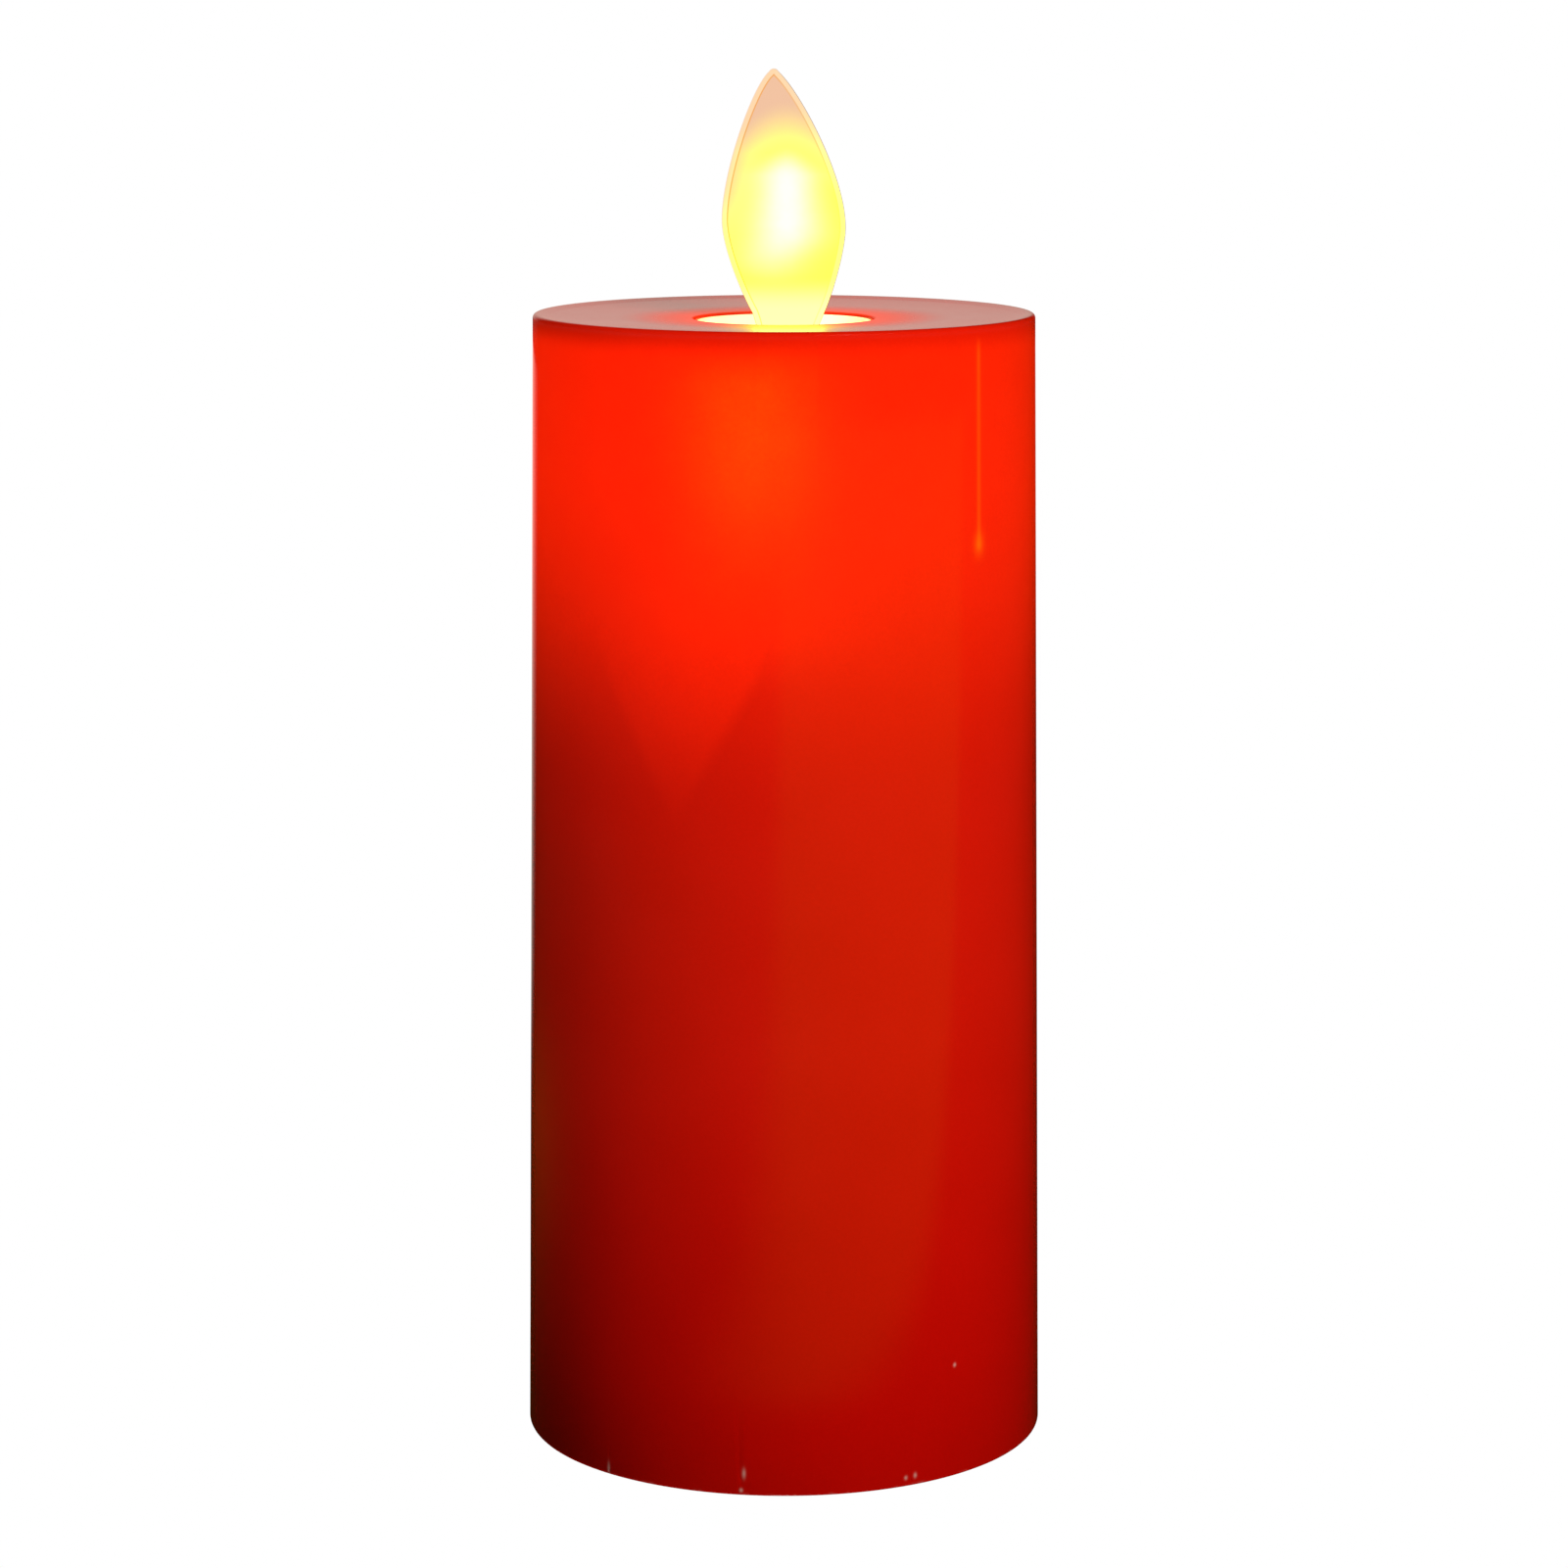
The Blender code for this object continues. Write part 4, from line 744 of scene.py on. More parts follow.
@dataclass(frozen=True)
class Moulding:
    """Moulded plastic."""

    name: str
    colour: Colour
    roughness: float = 0.42
    tone_shift: float = 0.08
    grain: float = 0.35
    depth: float = 0.02
    worn: Colour = (0.8, 0.78, 0.74)
    wear: float = 0.15
    dust: float = 0.05

    @functools.cache
    def material(self) -> Material:
        """Build the plastic's material once."""
        material, web, shader = fresh_material(self.name)
        grain = moulded(web, self.colour, self.tone_shift, self.grain, self.roughness, 0.08)
        rubbed = {"Colour": grain["Colour"], "Worn Colour": self.worn, "Wear": self.wear}
        edges = placed(web, rubbed_edges(), rubbed)
        dusty = {"Colour": edges["Colour"], "Roughness": grain["Roughness"], "Dust": self.dust}
        dust = placed(web, settled_dust(), dusty)
        web.fill(shader, {"Base Color": dust["Colour"], "Roughness": dust["Roughness"]})
        bumped(web, shader, grain["Height"], 0.5, self.depth)
        return material


@dataclass(frozen=True)
class Plating:
    """Plated or drawn metal."""

    name: str
    colour: Colour
    tarnish: Colour = (0.30, 0.26, 0.20)
    tarnish_share: float = 0.3
    roughness: float = 0.28
    line: float = 0.12

    @functools.cache
    def material(self) -> Material:
        """Build the metal's material once."""
        material, web, shader = fresh_material(self.name)
        grain = drawn(web, self.colour, self.tarnish, self.tarnish_share, self.roughness, self.line)
        worn = tuple(min(1.0, part * 1.25) for part in self.colour)
        rubbed = {"Colour": grain["Colour"], "Worn Colour": worn, "Wear": 0.4}
        edges = placed(web, rubbed_edges(), rubbed)
        web.fill(
            shader,
            {"Base Color": edges["Colour"], "Roughness": grain["Roughness"], "Metallic": 1.0},
        )
        bumped(web, shader, grain["Height"], 0.3, 0.006)
        return material


@dataclass(frozen=True)
class GlowingWax:
    """Glossy translucent red plastic with the lamp's light in it."""

    name: str = "lit_red_plastic"
    colour: Colour = (0.60, 0.0060, 0.0006)
    foot_colour: Colour = (0.60, 0.0022, 0.0005)
    chip: Colour = (0.75, 0.30, 0.24)
    roughness: float = 0.055
    plate_roughness: float = 0.10
    ring_spacing: float = 0.42
    # Each pale mark: its turn in degrees, its height, its length.
    nicks: tuple[tuple[float, float, float], ...] = (
        (-41.5, 0.7, 0.6), (-8.6, 2.4, 0.45), (-9.2, 0.6, 0.2), (27.2, 1.0, 0.2), (29.5, 1.1, 0.25),
        (40.2, 12.0, 0.2),
    )

    @functools.cache
    def material(self) -> Material:
        """Build the body's material once."""
        material, web, shader = fresh_material(self.name)
        x, y, z = spot(web)
        reach, azimuth = polar(web, x, y)
        tone = web.blend(web.ease(z, 2.0, 64.0), self.foot_colour, self.colour)
        grain = moulded(web, tone, 0.12, 0.30, self.roughness, 0.05)
        scuffed = web.ease(z, 0.5, 0.1) * web.ease(web.noise(650.0), 0.5, 0.7)
        share = scuffed * 0.22
        for turn, height, length in self.nicks:
            mark = web.bell(nearest(web, azimuth, turn, 360.0), 0.0, 0.36)
            mark = mark * web.bell(z, height, length)
            share = web.sum("MAXIMUM", share, mark)
        web.feed(shader.inputs["Base Color"], web.blend(share, grain["Colour"], self.chip))
        flat = web.ease(z, 118.0, 118.4)
        inner = web.ease(reach, 18.0, 10.0) * 0.2 + self.plate_roughness
        rough = flat * inner + grain["Roughness"]
        web.feed(shader.inputs["Roughness"], rough)
        light = placed(web, candle_light(), {"Strength": 1.0, "Mottle": 0.12})
        web.fill(shader, {"Emission Color": light["Light"], "Emission Strength": 1.0})
        turns = reach * (2 * math.pi / self.ring_spacing)
        rings = web.sum("SINE", turns) * web.ease(z, 118.3, 118.5)
        height = rings * 0.1 + grain["Height"]
        bumped(web, shader, height, 0.35, 0.012)
        return material


@dataclass(frozen=True)
class LitSheet:
    """The thin flame sheet, lit by the lamp."""

    name: str
    yellow: Colour = (1.0, 0.96, 0.065)
    peach: Colour = (0.55, 0.333, 0.225)
    core: Colour = (1.0, 1.0, 0.62)
    foot: Colour = (1.0, 0.98, 0.30)
    strength: float = 1.5
    base: Colour = (0.06, 0.045, 0.02)
    left: Colour = (1.0, 1.0, 1.0)
    right: Colour = (1.0, 1.0, 1.0)

    @functools.cache
    def material(self) -> Material:
        """Build the sheet's material once."""
        material, web, shader = fresh_material(self.name)
        grain = moulded(web, self.base, 0.05, 0.25, 0.35, 0.06)
        colours = {
            "Yellow": self.yellow, "Peach": self.peach, "Core": self.core, "Foot": self.foot,
            "Left": self.left, "Right": self.right,
        }
        light = placed(web, flame_light(), colours)
        web.fill(
            shader,
            {
                "Base Color": grain["Colour"], "Roughness": grain["Roughness"],
                "Emission Color": light["Light"], "Emission Strength": self.strength,
            },
        )
        bumped(web, shader, grain["Height"], 0.3, 0.01)
        return material


@dataclass(frozen=True)
class LitIvory:
    """Ivory plastic flooded with the lamp's light."""

    name: str = "lit_ivory_plastic"
    colour: Colour = (0.80, 0.72, 0.50)
    pale: Colour = (1.0, 0.98, 0.52)
    deep: Colour = (1.0, 0.90, 0.22)
    strength: float = 1.0

    @functools.cache
    def material(self) -> Material:
        """Build the cup's material once."""
        material, web, shader = fresh_material(self.name)
        grain = moulded(web, self.colour, 0.05, 0.3, 0.4, 0.06)
        x, _, z = spot(web)
        ends = web.ease(web.sum("ABSOLUTE", x), 5.0, 9.0)
        depth = web.ease(z, 116.0, 111.0)
        share = web.sum("MAXIMUM", ends, depth * 0.6)
        uneven = (web.noise(300.0) - 0.5) * 0.5 + share
        light = web.blend(web.sum("ADD", uneven, 0.0, clamp=True), self.pale, self.deep)
        web.fill(
            shader,
            {
                "Base Color": grain["Colour"], "Roughness": grain["Roughness"],
                "Emission Color": light, "Emission Strength": self.strength,
            },
        )
        bumped(web, shader, grain["Height"], 0.3, 0.01)
        return material


@dataclass(frozen=True)
class LampEpoxy:
    """The lamp's clear epoxy, bright in the middle of its dome."""

    name: str = "lit_lamp_epoxy"
    colour: Colour = (0.90, 0.80, 0.50)
    light: Colour = (1.0, 0.90, 0.55)
    strength: float = 3.0

    @functools.cache
    def material(self) -> Material:
        """Build the lamp's material once."""
        material, web, shader = fresh_material(self.name)
        grain = placed(web, moulded_grain(), {"Colour": self.colour, "Roughness": 0.08})
        swirl = web.ease(web.noise(350.0), 0.2, 0.8)
        glow = web.blend(swirl, self.light, (1.0, 0.97, 0.80))
        web.fill(
            shader,
            {
                "Base Color": grain["Colour"], "Roughness": grain["Roughness"],
                "Emission Color": glow, "Emission Strength": self.strength, "Coat Weight": 0.6,
            },
        )
        return material


@dataclass(frozen=True)
class WoundWire:
    """Enamelled copper wire wound in close turns."""

    name: str = "enamelled_copper"
    colour: Colour = (0.62, 0.22, 0.08)
    # the tarnish, which also paints the shade between the turns
    dark: Colour = (0.20, 0.05, 0.02)
    pitch: float = 0.24

    @functools.cache
    def material(self) -> Material:
        """Build the winding's material once."""
        material, web, shader = fresh_material(self.name)
        grain = drawn(web, self.colour, self.dark, 0.5, 0.3, 0.2)
        _, _, z = spot(web)
        # painted shade darkens the grooves between the turns
        turns = web.sum("SINE", z * (2 * math.pi / self.pitch))
        share = web.ease(turns, -0.2, -1.0)
        colour = web.blend(share * 0.7, grain["Colour"], self.dark)
        web.fill(
            shader,
            {
                "Base Color": colour, "Roughness": grain["Roughness"], "Metallic": 0.9,
                "Coat Weight": 0.3,
            },
        )
        bumped(web, shader, turns, 0.6, 0.05)
        return material


@dataclass(frozen=True)
class BoardLaminate:
    """Green solder mask over copper tracks on glass laminate."""

    name: str = "board_laminate"
    mask: Colour = (0.015, 0.13, 0.045)
    track: Colour = (0.03, 0.22, 0.07)
    core: Colour = (0.55, 0.48, 0.26)

    @functools.cache
    def material(self) -> Material:
        """Build the board's material once."""
        material, web, shader = fresh_material(self.name)
        x, y, z = spot(web)
        reach, _ = polar(web, x, y)
        where = web.add("ShaderNodeTexCoord").outputs["Object"]
        cells = {"Vector": where, "Scale": 230.0, "Randomness": 0.35}
        settings = {"feature": "DISTANCE_TO_EDGE", "distance": "EUCLIDEAN"}
        lanes = web.add("ShaderNodeTexVoronoi", cells, **settings)
        track = web.ease(lanes.outputs["Distance"], 0.07, 0.05)
        inside = web.ease(reach, 17.3, 17.1)
        colour = web.blend(track * inside, self.mask, self.track)
        edge = web.ease(reach, 17.90, 17.96)
        web.feed(shader.inputs["Base Color"], web.blend(edge, colour, self.core))
        grain = placed(web, moulded_grain(), {"Roughness": 0.32, "Grain Size": 0.5})
        rough = web.sum("MULTIPLY_ADD", edge, 0.3, grain["Roughness"], clamp=True)
        web.feed(shader.inputs["Roughness"], rough)
        bumped(web, shader, track, 0.5, 0.03)
        return material


@dataclass(frozen=True)
class CellSleeve:
    """A cell's printed sleeve without marks."""

    name: str
    colour: Colour
    fleck: Colour

    @functools.cache
    def material(self) -> Material:
        """Build the sleeve's material once."""
        material, web, shader = fresh_material(self.name)
        grain = drawn(web, self.colour, self.fleck, 0.35, 0.28, 0.5)
        web.fill(
            shader,
            {
                "Base Color": grain["Colour"], "Roughness": grain["Roughness"], "Metallic": 0.35,
                "Coat Weight": 0.5,
            },
        )
        bumped(web, shader, grain["Height"], 0.2, 0.004)
        return material


WAX = GlowingWax()
IVORY = LitIvory()
FLAME_FACE = LitSheet("lit_flame_face")
# Painted light on the flame's rounding: the rim finish is a paler painted highlight, the crease and
# edge finishes are dimmer, browner painted shade.
FLAME_RIM_HIGHLIGHT = LitSheet(
    "lit_flame_rim", yellow=(1.0, 0.96, 0.16), peach=(0.64, 0.44, 0.27), core=(1.0, 0.98, 0.30),
    foot=(1.0, 0.96, 0.30),
)
FLAME_CREASE_SHADE = LitSheet(
    "lit_flame_crease", yellow=(0.68, 0.66, 0.07), peach=(0.56, 0.31, 0.15),
    core=(0.68, 0.66, 0.12), foot=(0.70, 0.66, 0.20), left=(1.0, 0.82, 0.55),
)
FLAME_EDGE_SHADE = LitSheet(
    "lit_flame_edge", yellow=(0.27, 0.21, 0.12), peach=(0.30, 0.23, 0.19), core=(0.27, 0.21, 0.12),
    foot=(0.24, 0.05, 0.01), left=(2.0, 2.0, 2.0),
)
LAMP = LampEpoxy()
HOUSING = Moulding("white_moulding", (0.74, 0.73, 0.69))
BASE_RED = Moulding(
    "dark_red_moulding", (0.26, 0.008, 0.006), roughness=0.5, worn=(0.5, 0.08, 0.06), wear=0.3
)
BLACK = Moulding("black_moulding", (0.018, 0.018, 0.02), roughness=0.45, worn=(0.2, 0.2, 0.2))
CHIP_BLACK = Moulding("chip_epoxy", (0.012, 0.012, 0.014), roughness=0.6, grain=0.12)
STEEL = Plating("nickel_plated_steel", (0.62, 0.61, 0.58))
ZINC = Plating("zinc_plated_screw", (0.58, 0.60, 0.62), (0.42, 0.38, 0.22), 0.45, 0.32)
SPRING_STEEL = Plating("spring_wire", (0.55, 0.55, 0.54), roughness=0.22, line=0.3)
SOLDER = Plating("solder", (0.72, 0.72, 0.70), (0.4, 0.4, 0.38), 0.4, 0.25, 0.6)
MAGNET = Plating("bright_nickel", (0.66, 0.64, 0.58), roughness=0.14, line=0.5)
COPPER = WoundWire()
BOARD = BoardLaminate()
SLEEVE_DARK = CellSleeve("cell_sleeve_dark", (0.015, 0.017, 0.022), (0.05, 0.05, 0.06))
SLEEVE_BAND = CellSleeve("cell_sleeve_band", (0.55, 0.27, 0.10), (0.40, 0.17, 0.06))
CAN_SLEEVE = CellSleeve("capacitor_sleeve", (0.010, 0.014, 0.03), (0.03, 0.03, 0.05))
CAN_STRIPE = CellSleeve("capacitor_stripe", (0.45, 0.47, 0.50), (0.35, 0.35, 0.38))
RED_WIRE = Moulding("red_insulation", (0.50, 0.02, 0.015), 0.38, dust=0.0)
BLACK_WIRE = Moulding("black_insulation", (0.02, 0.02, 0.02), 0.38, dust=0.0)
WHITE_WIRE = Moulding("white_insulation", (0.68, 0.67, 0.62), 0.38, dust=0.0)


# Sub-assemblies


class SubAssembly:
    """A group of pieces that is built and dressed together."""

    body = "candle"

    def publish(self, piece: Piece, slot: str, nodes: tuple = (), finish: object = None) -> None:
        """Give a piece its finish, its body and the CAD nodes it stands for."""
        if finish is not None:
            piece.data.materials.clear()
            piece.data.materials.append(finish.material())
        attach(piece, self.body)
        if nodes:
            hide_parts(*nodes)
        LOG.info("%s rides on %s and stands for %s", piece.name, self.body, nodes or "itself")

    def dress(self, node: str, finish: object) -> Piece:
        """Give a CAD node a finish."""
        piece = bpy.data.objects[node]
        piece.data.materials.clear()
        piece.data.materials.append(finish.material())
        LOG.info("%s keeps its CAD shape", node)
        return piece


@dataclass
class CandleBody(SubAssembly):
    """The red body: a turned shell with its top, its well and the bosses inside."""

    height: float = 119.0
    top_radius: float = 26.05
    base_radius: float = 27.5
    wall: float = 1.6
    dish: float = 0.35
    lip_width: float = 1.0
    lip_height: float = 0.2
    rim_rounding: float = 0.45
    corner: float = 0.8
    foot_rounding: float = 0.4
    well_radius: float = 9.4
    well_edge: float = 0.25
    steps: int = 256
    boss_radius: float = 2.4
    web: float = 1.2
    module_bosses: tuple = ((20.6, 51.0), (20.6, 231.0))
    module_boss_span: tuple = (95.4, 117.6)
    base_bosses: tuple = ((21.3, 56.0), (21.3, 180.0), (21.3, 304.0))
    base_boss_span: tuple = (3.3, 14.3)
    pilot_radius: float = 1.25
    pilot_depth: float = 8.3
    # Each nick: its turn in degrees, its height, half its width, half its height.
    nicks: tuple = (
        (-41.5, 0.25, 0.10, 0.9), (-9.4, 1.9, 0.09, 0.5), (-9.9, 0.6, 0.12, 0.5),
        (28.5, 0.7, 0.11, 0.6), (39.5, 12.0, 0.13, 0.13), (118.0, 0.5, 0.12, 0.6),
        (201.0, 0.9, 0.10, 0.5), (262.0, 0.4, 0.12, 0.7),
    )

    def outer(self, height: float) -> float:
        """The outside radius at a height."""
        slope = (self.top_radius - self.base_radius) / self.height
        return self.base_radius + slope * height

    def profile(self) -> Profile:
        """The wall's section, from the well's edge out, down the side and up inside."""
        top = self.height - self.lip_height
        underside = top - self.dish - self.wall
        lip_foot = self.top_radius - self.corner - self.lip_width
        edge_radius = self.well_radius + self.well_edge
        section: Profile = [(self.well_radius, underside)]
        edge_centre = (edge_radius, top - self.dish - self.well_edge)
        section += arc(edge_centre, self.well_edge, 180.0, 90.0, 5)
        dish_steps = 24
        for step in range(1, dish_steps + 1):
            share = step / dish_steps
            radius = edge_radius + (lip_foot - edge_radius) * share
            section.append((radius, top - self.dish * (1 - share**2)))
        section.append((self.top_radius - self.corner, self.height - 0.01))
        rim = self.rim_rounding
        section += arc((self.top_radius - rim, self.height - rim), rim, 90.0, 0.0, 10)
        side_steps = 12
        for step in range(1, side_steps):
            height = self.height - rim - (self.height - 2.0) * step / side_steps
            section.append((self.outer(height) - TINY, height))
        foot = self.foot_rounding
        section += arc((self.base_radius - foot, foot), foot, 0.0, -90.0, 5)
        inside = self.top_radius - self.wall
        section += [
            (self.base_radius - self.wall, 0.0), (inside, underside + self.dish - self.corner),
            (inside - self.corner * 0.3, underside + self.dish - self.corner * 0.3),
            (inside - self.corner, underside + self.dish),
        ]
        return section

    def boss(self, name: str, reach: float, azimuth: float, span: tuple) -> list:
        """A screw boss with its web, and the pilot hole that goes into it."""
        bottom, top = span
        centre = around(reach, azimuth)
        post = moved(rod(f"{name}_post", self.boss_radius, bottom, top), centre)
        length = self.outer((bottom + top) / 2) - self.wall / 2 - reach
        half = self.web / 2
        web = block(f"{name}_web", (-half, -length, bottom), (half, 0, top))
        moved(web, centre, (0, 0, azimuth))
        low = bottom - 0.3
        pilot = rod(f"{name}_pilot", self.pilot_radius, low, low + self.pilot_depth, steps=24)
        return [post, web, moved(pilot, centre)]

    def build(self) -> None:
        """Turn the shell, join its bosses, drill them and nick its foot."""
        shell = lathe("candle_body", self.profile(), self.steps)
        posts, pilots = [], []
        spans = [(place, self.module_boss_span) for place in self.module_bosses]
        spans += [(place, self.base_boss_span) for place in self.base_bosses]
        for number, ((reach, azimuth), span) in enumerate(spans, 1):
            post, web, pilot = self.boss(f"boss_{number}", reach, azimuth, span)
            posts += [post, web]
            pilots.append(pilot)
        combine(shell, Join.ON, *posts)
        combine(shell, Join.AWAY, *pilots, *self.nick_tools())
        resmooth(shell, 35)
        self.publish(shell, "shell_red", ("candle_shell",), WAX)

    def nick_tools(self) -> list:
        """Small slanting wedges that nick the foot's edge."""
        tools = []
        for number, (azimuth, height, half_width, half_height) in enumerate(self.nicks, 1):
            wedge = lathe(
                f"nick_{number}", [(0.0, half_height), (half_width, 0.0), (0.0, -half_height)],
                steps=8, closed=False,
            )
            at = around(self.outer(height) + half_width * 0.4, azimuth, height)
            tools.append(moved(wedge, at, (0, 12 if number % 2 else -16, azimuth)))
        return tools


@dataclass
class LightCup(SubAssembly):
    """The ivory funnel that lines the well, cut away around the lamp."""

    collar: float = 9.1
    collar_wall: float = 0.8
    throat: float = 7.4
    wall: float = 1.2
    flange: float = 12.4
    lamp_clearance: float = 4.3

    def build(self) -> None:
        """Turn the cup and bore it for the lamp."""
        low, high = node_box("light_cup")
        top = high.z
        flange_top = low.z + 6.2
        mouth = self.collar - self.collar_wall
        section = [
            (mouth, top), (self.collar, top), (self.collar, flange_top), (self.flange, flange_top),
            (self.flange, flange_top - self.wall), (self.collar, flange_top - self.wall),
            (self.throat + self.wall, low.z), (self.throat, low.z),
        ]
        cup = lathe("light_well", soften(section, 0.25, 3), 128)
        lamp_low, lamp_high = node_box("led_lamp")
        bore = moved(
            rod("lamp_bore", self.lamp_clearance, -8.6, 4.3), (lamp_low + lamp_high) / 2,
            (-LAMP_TILT, 0, 0),
        )
        combine(cup, Join.AWAY, bore)
        resmooth(cup, 35)
        self.publish(cup, "cup_ivory", ("light_cup",), IVORY)


LAMP_TILT = 29.7


@dataclass
class FlameTab(SubAssembly):
    """The swaying flame sheet with its soft rim, and the magnet on its foot."""

    body = "flame"
    rim: float = 119.0
    tip: float = 144.0
    stem_bottom: float = 84.4
    stem: float = 2.4
    toe: float = 1.8
    hole_radius: float = 0.9
    half_thickness: float = 0.5
    steps: int = 26
    rings: tuple = ((0.0, 0.2), (0.06, 0.3), (0.16, 0.39), (0.32, 0.46), (0.52, 0.5), (0.66, 0.5))

    def knots(self) -> list:
        """The outline's knots: point, handle before and handle after, in order."""
        rim, tip, stem, toe = self.rim, self.tip, self.stem, self.toe
        foot, bottom = rim - 6.5, self.stem_bottom
        return [
            ((-1.55, tip - 0.3), (-3.35, tip - 1.9), (-1.3, tip + 0.1)),
            ((-0.55, tip - 0.3), (-0.8, tip + 0.1), (1.9, tip - 2.6)),
            ((6.38, rim + 8.8), (6.38, rim + 13.8), (6.38, rim + 6.4)),
            ((4.2, rim), (5.0, rim + 1.7), (3.3, rim - 2.1)),
            ((stem, foot), (2.5, rim - 4.4), (stem, foot - 3.0)),
            ((toe, bottom), (toe, bottom + 6.0), (toe / 3, bottom)),
            ((-toe, bottom), (-toe / 3, bottom), (-toe, bottom + 6.0)),
            ((-stem, foot), (-stem, foot - 3.0), (-2.4, rim - 4.4)),
            ((-3.3, rim), (-2.5, rim - 2.1), (-4.0, rim + 1.2)),
            ((-6.44, rim + 9.6), (-6.44, rim + 6.4), (-6.44, rim + 14.3)),
        ]

    def outline(self) -> list[Vector]:
        """The flame's edge as points of x and z."""
        points = []
        knots = self.knots()
        for (start, _, leave), (end, arrive, _) in zip(knots, knots[1:] + knots[:1]):
            p0, p1, p2, p3 = (Vector(point) for point in (start, leave, arrive, end))
            for step in range(self.steps):
                t = step / self.steps
                s = 1 - t
                points.append(p0 * s**3 + p1 * 3 * s * s * t + p2 * 3 * s * t * t + p3 * t**3)
        return points

    @staticmethod
    def inset(points: list[Vector], distance: float) -> list[Vector]:
        """Move an outline's points inwards, closing up those that would cross over."""
        count = len(points)
        spots = []
        for index, point in enumerate(points):
            along = points[(index + 1) % count] - points[index - 1]
            inward = Vector((along.y, -along.x)).normalized()
            spots.append(point + inward * distance)
        gaps = [min((place - point).length for point in points) for place in spots]
        clear = [index for index, gap in enumerate(gaps) if gap >= distance * 0.97]
        for index in range(count):
            spots[index] = spots[min(clear, key=lambda other: abs(other - index))]
        return spots

    def build(self) -> None:
        """Make the sheet ring by ring, then the magnet."""
        shape = bmesh.new()
        points = self.outline()
        loops = []
        for side in (-1, 1):
            for distance, half in self.rings:
                loop = []
                for spot in self.inset(points, distance):
                    if not loop or (spot - loop[-1][1]).length > 0.003:
                        loop.append((shape.verts.new((spot.x, side * half, spot.y)), spot))
                    else:
                        loop.append(loop[-1])
                loops.append([corner for corner, _ in loop])
        count = len(self.rings)
        front, back = loops[:count], loops[count:]
        # Finish slots: 0 the lit face, 1 the rim's painted highlight, 2 the crease's painted shade,
        # 3 the painted dark edge on the outer wall, the first rounding and the hole.
        self.skin(shape, front[0], back[0], 3)
        for side in (front, back):
            for first, second, kind in zip(side, side[1:], (3, 1, 1, 1, 2)):
                self.skin(shape, first, second, kind)
        self.face_with_hole(shape, front[-1], back[-1])
        bmesh.ops.remove_doubles(shape, verts=shape.verts, dist=0.002)
        sheet = keep("flame_sheet", shape, sharp=60.0)
        for finish in (FLAME_FACE, FLAME_RIM_HIGHLIGHT, FLAME_CREASE_SHADE, FLAME_EDGE_SHADE):
            sheet.data.materials.append(finish.material())
        self.publish(sheet, "flame", ("flame_tab",))
        low, high = node_box("flame_magnet")
        weight = rod("flame_weight", (high.x - low.x) / 2, low.z, high.z, edge=0.35, steps=80)
        self.publish(weight, "magnet", ("flame_magnet",), MAGNET)

    @staticmethod
    def skin(shape: Shape, first: list, second: list, kind: int) -> None:
        """Join two loops with faces of one finish."""
        for index in range(len(first)):
            corners = (first[index - 1], first[index], second[index], second[index - 1])
            different = tuple(dict.fromkeys(corners))
            if len(different) > 2:
                shape.faces.new(different).material_index = kind

    def face_with_hole(self, shape: Shape, front: list, back: list) -> None:
        """Fill the two flat faces around the pivot hole and line the hole."""
        centre = (0.0, node_box("pivot_wire")[1].z - 0.4)
        circle = arc(centre, self.hole_radius, 0.0, 360.0, 40)[:-1]
        half = self.half_thickness
        holes = [[shape.verts.new((x, y, z)) for x, z in circle] for y in (-half, half)]
        for loop, hole in ((front, holes[0]), (back, holes[1])):
            edges = []
            for ring in (list(dict.fromkeys(loop)), hole):
                for index in range(len(ring)):
                    pair = (ring[index], ring[(index + 1) % len(ring)])
                    edges.append(shape.edges.get(pair) or shape.edges.new(pair))
            bmesh.ops.triangle_fill(shape, edges=edges, use_beauty=True)
        self.skin(shape, holes[0], holes[1], 3)


def cross_recess(depth: float, top: float, reach: float) -> list:
    """The two bars that cut a cross recess into a screw's head."""
    bars = []
    for number, angle in enumerate((0, 90), 1):
        bar = block(f"recess_{number}", (-reach, -0.3, top - depth), (reach, 0.3, top + 0.3))
        bars.append(moved(bar, (0, 0, 0), (0, 0, angle)))
    return bars


